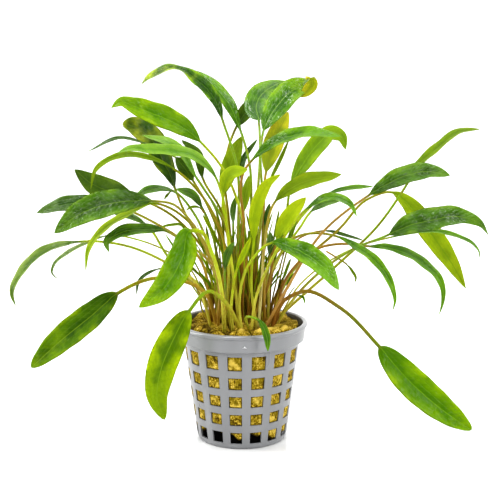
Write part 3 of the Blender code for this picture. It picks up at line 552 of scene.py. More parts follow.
# wide: widest apparent width; turn: how far the blade is rolled up from facing the eye, in degrees; stalk
# and blade: the route on the board, in millimetres (right, up); skin and stem: names of colours; form:
# fold (steepness of the halves), cup, twist (degrees more at the tip), ruffle and quilt (millimetres), back
# (−1 if its underside faces the eye), full (how full the outline is at base and tip).
LEAVES = [
    Leaf("leaf_left_01", 5.2, 45, [(-1.5, 88), (-2, 115)],
         [(-8, 134.5), (-9.5, 139.5), (-13.5, 146), (-19, 151), (-23.5, 154), (-29, 155), (-34, 153), (-38, 150.5), (-40.5, 148)],
         "arching", "green", {"twist": -50, "full": (0.6, 0.8), "quilt": 0.1, "pinch": (0.62, 0.62, 0.13)}),
    Leaf("leaf_left_02", 5, 50, [(4, 94.5), (3, 117)],
         [(-0.5, 129.5), (-5.5, 141), (-14, 150), (-19.5, 153.5)], "grass", "green", {"quilt": 0.1}),
    Leaf("leaf_left_03", 9.3, 30, [(-0.5, 96.5), (-7.5, 113.5)],
         [(-17, 125), (-22.5, 130), (-29.5, 134), (-37, 137), (-43.5, 139.5), (-48.5, 141), (-53, 138.5)],
         "spring", "lime", {"full": (0.75, 0.9), "quilt": 0.2}),
    Leaf("leaf_left_04", 9.7, 30, [(-11, 75.5), (-21.5, 91.5)],
         [(-27.5, 106), (-29.5, 112), (-32, 117), (-34.5, 123), (-39, 128.5), (-44, 131.5), (-48.5, 132)],
         "rimmed", "olive", {"full": (0.8, 0.55)}),
    Leaf("leaf_left_05", 3.5, 60, [(-4, 84), (-9, 95)],
         [(-18.5, 110), (-27, 123.5), (-40.5, 127.5)], "mint", "green", {}),
    Leaf("leaf_left_06", 1.5, 60, [(-11.5, 98.5), (-25, 117)],
         [(-39, 124), (-49.5, 126.5), (-62.5, 121)], "slate", "green", {}),
    Leaf("leaf_left_07", 4.6, 50, [(-5.5, 82), (-8.5, 104.5)],
         [(-10.5, 110), (-15, 116), (-21, 120), (-28.5, 121.5), (-37.5, 122), (-46.5, 122), (-51, 120)],
         "mint", "lime", {"quilt": 0.1}),
    Leaf("leaf_left_08", 2.6, 55, [(-8, 86), (-17, 103.5)],
         [(-27.5, 113.5), (-36.5, 118), (-49, 119.5), (-60, 113), (-62, 105)], "olive", "olive", {}),
    Leaf("leaf_left_09", 9.5, 30, [(-15.5, 80), (-29.5, 95)],
         [(-44, 102), (-52.5, 104.5), (-60.5, 107.5), (-68.5, 113.5)], "moss", "olive", {"full": (0.8, 0.9)}),
    Leaf("leaf_left_10", 6.2, 45, [(-17.5, 76.5), (-38, 92.5)],
         [(-54, 99), (-72.5, 99.5), (-84.5, 95.5)], "slate", "olive", {}),
    Leaf("leaf_left_11", 11.2, 25, [(-13, 77.5), (-21, 92), (-28, 99)],
         [(-37, 100.5), (-53.5, 100), (-66.5, 95.5), (-77.5, 87)], "deep", "olive", {"quilt": 0.42}),
    Leaf("leaf_left_12", 3.1, 55, [(-12.5, 75.5), (-19.5, 95)],
         [(-28, 104.5), (-39, 105), (-45.5, 100.5)], "deep", "green", {}),
    Leaf("leaf_left_13", 3.7, 50, [(-10, 75.5), (-12.5, 88.5)],
         [(-16.5, 98), (-20, 103), (-27, 105.5)], "deep", "green", {}),
    Leaf("leaf_left_14", 4.1, 40, [(-5.5, 84), (-8.5, 96.5)],
         [(-16, 110), (-18, 119.5), (-24.5, 125.5)], "moss", "olive", {}),
    Leaf("leaf_left_15", 5.8, 40, [(-9.5, 87), (-14, 98.5)],
         [(-20, 109), (-23, 114), (-27, 118.5)], "moss", "olive", {}),
    Leaf("leaf_left_16", 3.4, 68, [(-19.5, 66.5), (-32, 75), (-47, 81.5)],
         [(-67, 83.5), (-81.5, 80.5), (-91.5, 71.5), (-96, 61), (-94.5, 56)], "silver", "lime", {"fold": 0.5}),
    Leaf("leaf_left_17", 1.7, 60, [(-21.5, 72), (-42, 84)],
         [(-55.5, 86), (-64.5, 83), (-73, 78.5), (-78, 74), (-79, 70.5), (-76.5, 67.5)], "silver", "lime", {}),
    Leaf("leaf_left_18", 2.8, 68, [(-12.5, 75), (-22, 92), (-30.5, 98)],
         [(-35.5, 99.5), (-46.5, 95.5), (-56, 90), (-63.5, 80.5), (-65, 71)], "lime", "olive", {}),
    Leaf("leaf_left_19", 2.9, 50, [(-19.5, 65), (-30.5, 77)],
         [(-40, 91), (-47, 94.5), (-53.5, 95.5)], "deep", "lime", {}),
    Leaf("leaf_left_20", 5, 50, [(-11, 72), (-25.5, 84.5)],
         [(-31.5, 88), (-41, 89), (-51.5, 87), (-56, 83), (-55, 79)], "deep", "olive", {}),
    Leaf("leaf_left_21", 12, 20, [(-8.5, 63), (-12.5, 79), (-17.5, 88)],
         [(-21, 88), (-24.5, 77.5), (-33, 63.5), (-43, 55.5)],
         "spring", "lime", {"quilt": 0.42, "full": (0.5, 0.75)}),
    Leaf("leaf_left_22", 11.5, 25, [(-15.5, 62), (-36.5, 68)],
         [(-52, 61.5), (-63.5, 52), (-77.5, 40.5), (-89, 29.5)], "ripe", "olive", {"full": (0.5, 0.6)}),
    Leaf("leaf_left_23", 1.5, 40, [(-17.5, 65), (-28, 72)],
         [(-34.5, 72), (-43, 66.5), (-44, 61)], "slate", "green", {}),
    Leaf("leaf_left_24", 12.8, 10, [(-7.5, 58.5), (-13, 62.5)],
         [(-22, 54), (-28.5, 42.5), (-34.5, 27.5), (-36, 17.5), (-33, 6.5)],
         "mottled", "green", {"full": (0.5, 0.65), "quilt": 0.3}),
    Leaf("leaf_front_01", 3.1, 20, [(2, 51.5)],
         [(6.5, 50.5), (10.5, 43), (11, 36.5)], "grass", "green", {}),
    Leaf("leaf_top_01", 10.2, 20, [(6.5, 100.5), (7.5, 124.5)],
         [(7, 133.5), (6, 140), (8, 144), (12, 147), (19, 149.5)],
         "glossy", "green", {"quilt": 0.3, "full": (0.6, 1.3)}),
    Leaf("leaf_top_02", 9.9, 20, [(8.5, 100.5), (8, 124)],
         [(9, 129.5), (12, 136), (15.5, 141), (20, 145.5), (25, 147.6), (29, 148)],
         "glossy", "green", {"quilt": 0.3, "full": (0.7, 0.65)}),
    Leaf("leaf_top_03", 8.3, 25, [(9, 94.5)],
         [(10, 112.5), (13.5, 125.5), (19, 137)], "gold", "tan", {"back": -1}),
    Leaf("leaf_top_04", 5, 55, [(1, 88), (2, 114.5)],
         [(4.5, 117.5), (13.5, 125), (26, 129), (40.5, 127)], "grass", "brown", {}),
    Leaf("leaf_top_05", 7.7, 25, [(12.5, 71.5), (18.5, 96)],
         [(20.5, 107.5), (24, 114), (27.5, 119.5), (32, 125), (36.5, 128.5), (40.5, 127), (42.5, 121.5)],
         "spring", "green", {"back": -1, "quilt": 0.1}),
    Leaf("leaf_top_06", 6.2, 40, [(8.5, 69.5), (9.5, 82.5)],
         [(14, 100.5), (24, 108), (41, 111.5)], "olive", "straw", {"back": -1}),
    Leaf("leaf_top_07", 5.4, 30, [(4, 65)],
         [(5, 84), (6, 97.5), (11, 108), (16, 111.5)], "sulphur", "lime", {"back": -1}),
    Leaf("leaf_top_08", 5.8, 40, [(-5.5, 86)],
         [(-7.5, 104), (-5, 111.5), (2.5, 113.5)], "lime", "lime", {"back": -1}),
    Leaf("leaf_top_09", 7.2, 10, [(-7.5, 84)],
         [(-7.5, 103), (-4, 117), (0, 127)], "olive", "olive", {"back": -1}),
    Leaf("leaf_top_10", 2.5, 30, [(1, 88)],
         [(0, 107.5), (0.5, 117), (6.5, 126)], "slate", "olive", {}),
    Leaf("leaf_top_11", 5.8, 20, [(-5.5, 94.5), (-7, 114.5)],
         [(-2, 131), (2, 137.5), (6.5, 143)], "moss", "olive", {}),
    Leaf("leaf_top_12", 3.7, 20, [(-0.5, 80)],
         [(0.5, 95.5), (2, 105), (3, 111)], "olive", "brown", {"back": -1}),
    Leaf("leaf_top_13", 2.5, 20, [(-3.5, 77.5)],
         [(-3.5, 91), (-3.5, 97.5), (-2, 103)], "deep", "green", {}),
    Leaf("leaf_front_02", 3.3, 20, [(-6.5, 60.5)],
         [(-7, 72), (-6, 78), (-3, 83.5)], "deep", "green", {}),
    Leaf("leaf_front_03", 2.5, 30, [(-4.5, 54.5), (-4, 61)],
         [(-2, 72), (1.5, 80), (4, 85.5)], "sulphur", "lime", {}),
    Leaf("leaf_front_04", 8.7, 35, [(-1, 58.5), (2.5, 73)],
         [(12.5, 83), (23, 80.5), (33.5, 73.5), (40.5, 63)], "grass", "lime", {"quilt": 0.3}),
    Leaf("leaf_right_01", 6.6, 20, [(11, 65)],
         [(14.5, 84), (20.5, 95.5), (26.5, 102)], "sulphur", "tan", {"back": -1}),
    Leaf("leaf_right_02", 2.5, 20, [(8.5, 75.5)],
         [(9.5, 90.5), (10.5, 94.5), (11.5, 99.5)], "slate", "olive", {}),
    Leaf("leaf_right_03", 2.9, 20, [(11, 71.5)],
         [(11.5, 78), (12, 83), (12, 87.5)], "slate", "olive", {}),
    Leaf("leaf_right_04", 3.3, 60, [(6, 60), (11.5, 74), (20, 89)],
         [(26.5, 97), (37, 102.5), (44.5, 99.5), (47.5, 94)], "grass", "lime", {}),
    Leaf("leaf_right_05", 2.9, 55, [(12.5, 71.5), (24.5, 90)],
         [(28.5, 96), (34, 99.5), (40.5, 100.5)], "deep", "lime", {}),
    Leaf("leaf_right_06", 2.1, 55, [(14, 73.5), (26, 95.5)],
         [(35.5, 103.5), (44.5, 106), (54, 106.5)], "grass", "lime", {}),
    Leaf("leaf_right_07", 7.7, 40, [(19.5, 65), (34, 88)],
         [(52.5, 103), (63.5, 110), (77, 113), (85.5, 111)], "deep", "tan", {"quilt": 0.32}),
    Leaf("leaf_right_08", 3.5, 62, [(23, 58.5), (39.5, 73.5), (56.5, 90.5)],
         [(67, 106), (73, 116.5), (80, 123), (88, 129), (97, 130)], "olive", "green", {"twist": 30}),
    Leaf("leaf_right_09", 8.8, 20, [(20, 69.5), (41, 89.5), (51.5, 101)],
         [(62, 104), (67.5, 100.5), (73.5, 93.5), (79.5, 85.5), (87.5, 74), (93.5, 63.5)],
         "lime", "olive", {"full": (0.7, 0.9)}),
    Leaf("leaf_right_10", 9.7, 35, [(18, 54), (33.5, 71.5), (46.5, 80.5)],
         [(61, 86.5), (69.5, 91), (78.5, 93), (86.5, 94.5), (93.5, 93.5), (98.5, 91), (102.5, 85.5)],
         "deep", "green", {"quilt": 0.25, "full": (0.75, 1.3)}),
    Leaf("leaf_right_11", 1.9, 60, [(24, 65), (45, 80)],
         [(62.5, 85.5), (80.5, 88), (90.5, 85.5), (96, 82.5), (98.5, 79), (98.5, 76)], "grass", "lime", {}),
    Leaf("leaf_right_12", 3.7, 60, [(18, 67), (32.5, 81), (45.5, 82.5)],
         [(53, 81.5), (59.5, 81.5), (65.5, 80), (71.5, 77.5), (77.5, 73), (81.5, 69), (84, 63), (84, 58), (82.5, 52)],
         "grass", "brown", {"full": (0.6, 0.9)}),
    Leaf("leaf_right_13", 3.7, 60, [(12.5, 76.5), (24, 86)],
         [(40, 85.5), (47.5, 81.5), (53.5, 77.5), (59, 71.5), (63, 63.5), (64, 58.5), (63, 53.5)],
         "grass", "olive", {"full": (0.7, 1.0)}),
    Leaf("leaf_right_14", 1.5, 50, [(16, 77.5), (27, 86.5)],
         [(33.5, 88), (45.5, 85.5), (50.5, 84)], "slate", "brown", {}),
    Leaf("leaf_right_15", 13.2, 20, [(14.5, 55), (26.5, 62.5), (41, 55.5)],
         [(58, 38.5), (70, 25), (85, 11.5), (98, 2)], "spring", "bronze", {"full": (0.5, 0.6), "quilt": 0.22}),
    Leaf("leaf_right_16", 1.9, 20, [(16, 56.5)],
         [(18.5, 62.5), (20.5, 67.5), (22.5, 71)], "deep", "tan", {}),
]
# Small tips and tendrils past the leaves that can be told apart, and the folded tip of one; form's depths are
# at the start and at the tip
TIPS = [
    Leaf("tendril_right_01", 1.2, 40, [(35, 79.5), (39, 77)],
         [(43.5, 74), (46, 71), (47.5, 68), (47, 66)], "olive", "olive", {"depths": (-2, -8)}),
    Leaf("tendril_right_02", 1, 30, [(22, 61.5)],
         [(23, 61), (25.5, 60), (26.5, 57)], "grass", "green", {"depths": (-6, -9)}),
    Leaf("tendril_left_01", 1.2, 50, [(-15.5, 95.5)],
         [(-17, 97.5), (-20.5, 98), (-23, 96.5)], "olive", "olive", {"depths": (4, 0)}),
    Leaf("tendril_left_02", 1, 40, [(-28, 105)],
         [(-29, 104.5), (-30.5, 103), (-32, 101)], "olive", "olive", {"depths": (6, 4)}),
    Leaf("tendril_left_03", 1.3, 50, [(-19, 83), (-21, 85.5)],
         [(-22.5, 87), (-25, 90.5), (-29.5, 90.5), (-34, 89.5)], "olive", "olive", {"depths": (-2, -6)}),
    Leaf("folded_tip_01", 5.0, 10, [(25.8, 150.6)],
         [(27.6, 150.2), (28.4, 148.3), (26.6, 145.4), (23.2, 142.9)],
         "gold", "lime", {"depths": (28.5, 26.5), "back": -1, "full": (0.3, 0.7)}),
    Leaf("tendril_top_01", 1.7, 30, [(9, 102.5)],
         [(11, 107.5), (15.5, 117), (19.5, 126)], "olive", "olive", {"depths": (12, 30)}),
]

# Colours of a blade: along its heart, on its face, at its edge, at its tip, and on its midrib; then how
# strongly it reflects and how rough it is
Skin = namedtuple("Skin", "heart face edge tip rib sheen rough")
SKINS = {
    "deep": Skin((46, 80, 2), (70, 112, 6), (108, 144, 16), (90, 130, 12), (104, 140, 30), 0.3, 0.27),
    "arching": Skin((28, 64, 0), (56, 98, 2), (118, 158, 18), (168, 186, 24), (78, 122, 16), 0.24, 0.22),
    "grass": Skin((54, 98, 0), (88, 132, 4), (122, 158, 14), (104, 152, 14), (112, 158, 36), 0.2, 0.17),
    "glossy": Skin((50, 98, 6), (94, 144, 14), (130, 172, 26), (124, 160, 16), (120, 162, 40), 0.45, 0.19),
    "mint": Skin((84, 130, 20), (116, 156, 42), (134, 172, 54), (124, 164, 46), (98, 142, 34), 0.24, 0.24),
    "spring": Skin((72, 118, 0), (104, 144, 0), (142, 172, 2), (132, 166, 0), (118, 160, 18), 0.14, 0.2),
    "lime": Skin((122, 146, 4), (144, 168, 8), (166, 184, 18), (154, 172, 14), (108, 146, 6), 0.1, 0.38),
    "sulphur": Skin((144, 168, 2), (164, 184, 6), (182, 194, 14), (172, 186, 12), (144, 168, 10), 0.1, 0.4),
    "olive": Skin((84, 112, 0), (104, 132, 0), (132, 150, 8), (116, 140, 6), (120, 142, 22), 0.08, 0.38),
    "gold": Skin((116, 132, 6), (166, 168, 10), (188, 172, 28), (182, 166, 24), (118, 112, 20), 0.1, 0.38),
    "slate": Skin((36, 70, 8), (56, 88, 18), (80, 112, 26), (74, 106, 28), (88, 122, 44), 0.24, 0.22),
    # The pale grey-green of this skin is a painted sheen over the leaves' green.
    "silver": Skin((74, 104, 28), (116, 140, 54), (142, 158, 78), (120, 146, 58), (84, 118, 38), 0.3, 0.26),
    "rimmed": Skin((34, 62, 4), (50, 82, 6), (110, 128, 10), (132, 142, 18), (80, 104, 20), 0.12, 0.3),
    "ripe": Skin((44, 78, 0), (76, 112, 0), (122, 148, 2), (108, 140, 4), (118, 146, 28), 0.09, 0.32),
    "mottled": Skin((84, 120, 0), (142, 170, 0), (172, 196, 0), (130, 160, 6), (134, 166, 28), 0.1, 0.3),
    "moss": Skin((46, 74, 0), (62, 90, 0), (86, 112, 6), (56, 82, 4), (78, 104, 14), 0.08, 0.4),
}
# Colours of a stalk: at its foot and where the blade starts
STEMS = {
    "lime": [(224, 216, 84), (170, 194, 22)],
    "straw": [(248, 242, 164), (184, 166, 66)],
    "tan": [(188, 146, 74), (168, 136, 54)],
    "brown": [(162, 114, 48), (160, 126, 38)],
    "bronze": [(146, 100, 36), (124, 136, 26)],
    "olive": [(194, 156, 58), (148, 150, 26)],
    "green": [(194, 184, 60), (124, 160, 20)],
}
UNDER_PALE = (150, 172, 36)
VEIN_SPACING = 2.6
VEIN_SLANT = 1.15
LONG_VEINS = 0.16


def onto_board(places):
    """Where the lines of sight to real places (x, y, z) cross the board y = 0: (right, up) pairs."""
    share = EYE[1] / (EYE[1] - places[..., 1])
    return (EYE + (places - EYE) * share[..., None])[..., [0, 2]]


def at_depth(board, depth):
    """Real places of board points (right, up), each moved along its line of sight to a depth."""
    share = 1 - depth / EYE[1]
    flat = np.stack([board[..., 0], np.zeros_like(depth), board[..., 1]], -1)
    return EYE + (flat - EYE) * share[..., None]


def smooth_line(places, shares, at):
    """A cubic through places given at rising shares, with slopes from their neighbours, read at `at`."""
    slopes = np.gradient(places, shares, axis=0)
    k = np.clip(np.searchsorted(shares, at, side="right") - 1, 0, len(shares) - 2)
    span = (shares[k + 1] - shares[k])[:, None]
    t = (at - shares[k])[:, None] / span
    start = places[k] * (1 + 2 * t) * (1 - t) ** 2 + slopes[k] * span * t * (1 - t) ** 2
    end = places[k + 1] * (3 - 2 * t) * t**2 - slopes[k + 1] * span * (1 - t) * t**2
    return start + end


def outline(v, fullness):
    """Width of a blade at share v of its length, as a share of its widest: vᵖ (1 − v)ᑫ over its highest."""
    base, tip = fullness
    widest = base / (base + tip)
    v = np.clip(v, 0, 1)
    return (v / widest) ** base * ((1 - v) / (1 - widest)) ** tip


def sideways(line):
    """The direction across a line on the board, a quarter turn to the left of its way."""
    way = np.gradient(line, axis=0)
    way /= np.hypot(*way.T)[:, None]
    return np.stack([-way[:, 1], way[:, 0]], -1)


def read_solid(leaf, drawn, shares, base, radii):
    """Shares and depths of the rings of a leaf's solid: midway between the two edge corners of each ring.

    A corner is the solid's point whose line of sight is nearest to where the drawing puts that corner.
    """
    corners = np.empty(len(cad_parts[leaf.name].data.vertices) * 3)
    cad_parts[leaf.name].data.vertices.foreach_get("co", corners)
    corners = corners.reshape(-1, 3) / MM
    seen = onto_board(corners)
    stations = np.linspace(0, 1, SOLID_STATIONS)
    line = smooth_line(drawn, shares, stations)
    blade = leaf.wide / 2 * outline((stations - base) / (1 - base), SOLID_FULLNESS)
    half = np.maximum(blade, np.interp(stations, [0, base, 1], radii))
    rings = np.concatenate([
        np.linspace(0, base, SOLID_STALK_RINGS),
        base + (1 - base) * np.linspace(0, 1, SOLID_BLADE_RINGS + 2)[1:],
    ])
    columns = np.column_stack([line, sideways(line) * half[:, None]])
    right, up, out, rise = (np.interp(rings, stations, column) for column in columns.T)
    depths = np.zeros(len(rings))
    for edge in (-1, 1):
        wanted = np.stack([right + edge * out, up + edge * rise], -1)
        nearest = np.hypot(*(seen[None] - wanted[:, None]).transpose(2, 0, 1)).argmin(1)
        depths += corners[nearest, 1] / 2
    return rings, depths


def leaf_foot(name):
    """Where a leaf's solid stands: the middle of its lowest ring."""
    corners = np.empty(len(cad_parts[name].data.vertices) * 3)
    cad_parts[name].data.vertices.foreach_get("co", corners)
    corners = corners.reshape(-1, 3) / MM
    ring = corners[np.abs(corners[:, 2] - FOOT_HEIGHT) < 0.002]
    return np.array([*(ring.min(0) + ring.max(0))[:2] / 2, FOOT_HEIGHT])


def leaf_mesh(leaf):
    """A leaf's skin on a grid (way along the leaf, way round its section), with its pattern coordinates.

    Section: x = W u and z = T w + W (fold √(u² + e) + cup u²) + ruffle |u|³ sin(along) + quilting, where
    (u, w) runs round a circle on the stalk and round a flat lens on the blade. It is rolled by an angle and
    widened so that the eye sees its half width as drawn, then set at the leaf's depth.
    """
    form = {"fold": 0.22, "cup": 0.0, "twist": 0, "ruffle": 0.25, "quilt": 0.16, "back": 1,
            "full": SOLID_FULLNESS, "pinch": (0, 0, 1), **leaf.form}
    rooted = leaf.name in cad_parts
    foot = [onto_board(leaf_foot(leaf.name))] if rooted else []
    drawn = np.array([*foot, *leaf.stalk, *leaf.blade], float)
    steps = np.hypot(*np.diff(drawn, axis=0).T)
    shares = np.concatenate([[0], np.cumsum(steps)]) / steps.sum()
    base = shares[len(foot) + len(leaf.stalk)]
    thin = leaf.wide < THIN_BLADE
    ordinary = STOUT_STALK_RADII if leaf.wide > STOUT_BLADE else STALK_RADII
    radii = [*(THIN_STALK_RADII if thin else ordinary), BLADE_HALF_THICKNESS]
    solid_radii = [*(SOLID_THIN_RADII if thin else SOLID_STALK_RADII), SOLID_TIP]
    length = steps.sum()
    stalk_rings = max(12, int(length * base / STALK_STEP))
    blade_rings = max(30, int(length * (1 - base) / BLADE_STEP))
    at = np.concatenate([
        np.linspace(0, base, stalk_rings),
        base + (1 - base) * np.linspace(0, 1, blade_rings)[1:] ** TIP_CROWD,
    ])
    line = smooth_line(drawn, shares, at)
    rings, depths = (0, 1), np.array(form.get("depths", (0, 0)), float)
    if rooted:
        rings, depths = read_solid(leaf, drawn, shares, base, solid_radii)
    depth = smooth_line(depths[:, None], np.array(rings), at)[:, 0]
    side = sideways(line)
    v = (at - base) / (1 - base)
    flat = np.clip(v / BLADE_START, 0, 1)
    flat = flat**2 * (3 - 2 * flat)
    radius = np.interp(at, [0, base, 1], radii)
    where, much, size = form["pinch"]
    broad = leaf.wide / 2 * outline(v, form["full"]) * (1 - much * np.exp(-(((v - where) / size) ** 2)))
    half = (broad**3 + (radius * (1 - flat)) ** 3) ** (1 / 3)

    x = np.linspace(-1, 1, ACROSS + 1)
    loop = np.concatenate([x, x[-2:0:-1]])
    above = np.concatenate([[0], np.ones(ACROSS - 1), [0], -np.ones(ACROSS - 1)])
    share = flat[:, None]
    u = np.sin(loop * math.pi / 2) * (1 - share) + np.sign(loop) * np.abs(loop) ** 1.25 * share
    w = above * (np.cos(loop * math.pi / 2) * (1 - share) + (1 - loop**4) * share)

    roll = np.arctan(math.tan(math.radians(leaf.turn)) * side[:, 1]) + np.radians(form["twist"]) * v**2
    roll = np.clip(roll, -math.radians(STEEPEST), math.radians(STEEPEST)) * flat
    bowl = (form["fold"] * (np.sqrt(u**2 + FOLD_SOFT) - math.sqrt(FOLD_SOFT)) + form["cup"] * u**2) * share
    seen = u * np.cos(roll)[:, None] + bowl * np.sin(roll)[:, None]
    low, high = seen.min(1), seen.max(1)
    wide = 2 * half / (high - low)
    phase = len(leaf.name) + 2.4 * drawn[-1, 0]
    run = (at - base)[:, None] * length
    span = wide[:, None] * u
    ruffle = form["ruffle"] * np.abs(u) ** 3 * np.sin(run / RUFFLE_LENGTH + phase + 1.7 * np.sign(loop))
    ruffle *= np.clip(half / 3, 0, 1)[:, None]
    veins = np.cos(2 * math.pi * (run - VEIN_SLANT * np.abs(span)) / VEIN_SPACING)
    dents = grain(np.stack([run + 0 * span, span + phase], -1), 2.4, 3)
    edge = np.clip(np.abs(u), 0, 1)
    swell = edge**0.6 * (1 - edge) ** 0.5 * 1.6
    ridges = np.cos(math.pi * edge / LONG_VEINS)
    quilt = form["quilt"] * (swell * (0.6 * veins - 0.35 * ridges) + dents * (1 - edge**4)) * np.clip(half / 2.5, 0, 1)[:, None]
    rib = np.exp(-((span / RIB_WIDTH) ** 2)) * np.clip(1 - v, 0, 1)[:, None] ** 0.7 * share
    thick = (radius + (BLADE_HALF_THICKNESS - radius) * flat)[:, None]
    under = w * form["back"] < 0
    raised = w * thick + wide[:, None] * bowl + (ruffle + quilt) * share
    raised = raised - form["back"] * rib * np.where(under, RIB_UNDER, RIB_GROOVE)
    cos, sin = np.cos(roll)[:, None], np.sin(roll)[:, None]
    out = span * cos + raised * sin - (wide * (low + high) / 2)[:, None]
    away = span * sin - raised * cos
    board = line[:, None] + side[:, None] * out[..., None]
    points = at_depth(board, depth[:, None] + away)
    if rooted:
        points[0, :, 2] = FOOT_HEIGHT - SUNK
    tip = points[-1].mean(0)
    around = 2 * ACROSS
    kept = len(at) - 1
    faces = tube_faces(kept, around).tolist() + [tuple(range(around))]
    last = (kept - 1) * around
    faces += [(last + (k + 1) % around, last + k, kept * around) for k in range(around)]
    along = np.where(at < base, at / base - 1, v)
    grown = {
        "across": u, "along": along[:, None] + 0 * u, "run": run + 0 * u, "span": span,
        "under": -w * form["back"] * 4,
    }
    marks = {key: np.append(np.asarray(value)[:-1].ravel(), np.asarray(value)[-1, 0])
             for key, value in grown.items()}
    return np.concatenate([points[:-1].reshape(-1, 3), [tip]]), faces, marks


def leaf_finish(skin, stem):
    """A blade's colours by how far a place is from the midrib and the tip, with cloudy patches, fine side
    veins and a midrib; paler beneath; and the stalk's own streaked colour, all a little see-through.
    """
    heart, face, edge, tip, rib = (paint(*colour) for colour in SKINS[skin][:5])
    sheen, rough = SKINS[skin][5:]
    foot, neck = (paint(*colour) for colour in STEMS[stem])
    finish = Finish(f"leaf_{skin}_{stem}")
    along, run = finish.attribute("along"), finish.attribute("run")
    off = finish.sums("ABSOLUTE", finish.attribute("across"))
    span = finish.sums("ABSOLUTE", finish.attribute("span"))
    under = finish.ease(finish.attribute("under"), -0.1, 0.1)
    cloud = finish.cloud(7.0, 2.0)
    fine = finish.cloud(1.1, 2.0)
    sway = finish.sums("MULTIPLY", finish.sums("SUBTRACT", cloud, 0.5), 1.3)
    spread = finish.sums("ADD", off, sway)
    green = finish.blend(finish.ease(spread, 0.05, 0.6), heart, face)
    green = finish.blend(finish.ease(spread, 0.62, 1.05), green, edge)
    reach = finish.sums("ADD", along, sway)
    green = finish.blend(finish.ease(reach, 0.5, 1.1), green, tip)
    green = finish.blend(finish.ease(reach, 0.42, 0.0, 0.0, 0.75), green, heart)
    slant = finish.sums("SUBTRACT", run, finish.sums("MULTIPLY", span, VEIN_SLANT))
    wave = finish.sums("PINGPONG", slant, VEIN_SPACING / 2)
    vein = finish.ease(wave, 0.28, 0.0, 0.0, 0.16)
    strand = finish.ease(finish.sums("PINGPONG", off, LONG_VEINS), 0.05, 0.0, 0.0, 0.24)
    vein = finish.sums("MULTIPLY", finish.sums("MAXIMUM", vein, strand), finish.ease(off, 1.0, 0.8))
    green = finish.blend(vein, green, rib)
    speck = finish.ease(fine, 0.35, 0.7, 0.0, 0.22)
    green = finish.blend(speck, green, heart)
    green = finish.blend(finish.ease(span, 0.3, 0.1, 0.0, 0.62), green, rib)
    beneath = finish.blend(0.25, green, paint(*UNDER_PALE))
    green = finish.blend(under, green, beneath)
    streak = finish.cloud(1.2, 2.0, (1, 1, 8))
    stalk = finish.blend(finish.ease(along, -1.0, -0.1), foot, neck)
    stalk = finish.blend(finish.ease(streak, 0.45, 0.7, 0.0, 0.5), stalk, paint(*STEMS["brown"][0]))
    colour = finish.blend(finish.ease(along, -0.06, 0.04), stalk, green)
    gloss = finish.ease(finish.sums("ADD", cloud, finish.sums("MULTIPLY", under, 0.5)), 0.3, 1.0, rough, rough + 0.2)
    lumps = finish.sums("ADD", fine, finish.sums("MULTIPLY", vein, -2.0))
    finish.relief(lumps, 0.13)
    material = finish.done(colour, gloss, Specular_IOR_Level=sheen)
    glow = finish.add("ShaderNodeBsdfTranslucent")
    finish.feed(glow.inputs["Color"], finish.blend(0.35, colour, paint(*SKINS["sulphur"].face)))
    mixed = finish.add("ShaderNodeMixShader")
    mixed.inputs[0].default_value = LEAF_GLOW
    finish.feed(mixed.inputs[1], finish.shader.outputs[0])
    finish.feed(mixed.inputs[2], glow.outputs[0])
    finish.feed(finish.tree.nodes["Material Output"].inputs["Surface"], mixed.outputs[0])
    return material


finishes = {}
for leaf in LEAVES + TIPS:
    key = (leaf.skin, leaf.stem)
    if key not in finishes:
        finishes[key] = leaf_finish(*key)
    leaf_points, leaf_faces, leaf_marks = leaf_mesh(leaf)
    stands_for = [leaf.name] if leaf.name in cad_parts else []
    mark_points(cast(f"grown_{leaf.name}", leaf_points, leaf_faces, finishes[key], stands_for), leaf_marks)

# Young shoots. The crown is full of leaves that are still coming up: thin stalks between the others, each
# with a small narrow blade, drawn by chance round the middle of the crown.
SHOOTS = [("lime", "lime", 34, 3.0), ("olive", "brown", 60, 5.5), ("spring", "olive", 30, 4.5)]
SHOOT_REACH = 13.5
SHOOT_RINGS = 40
SHOOT_AROUND = 10
SHOOT_TALL = (16, 52)


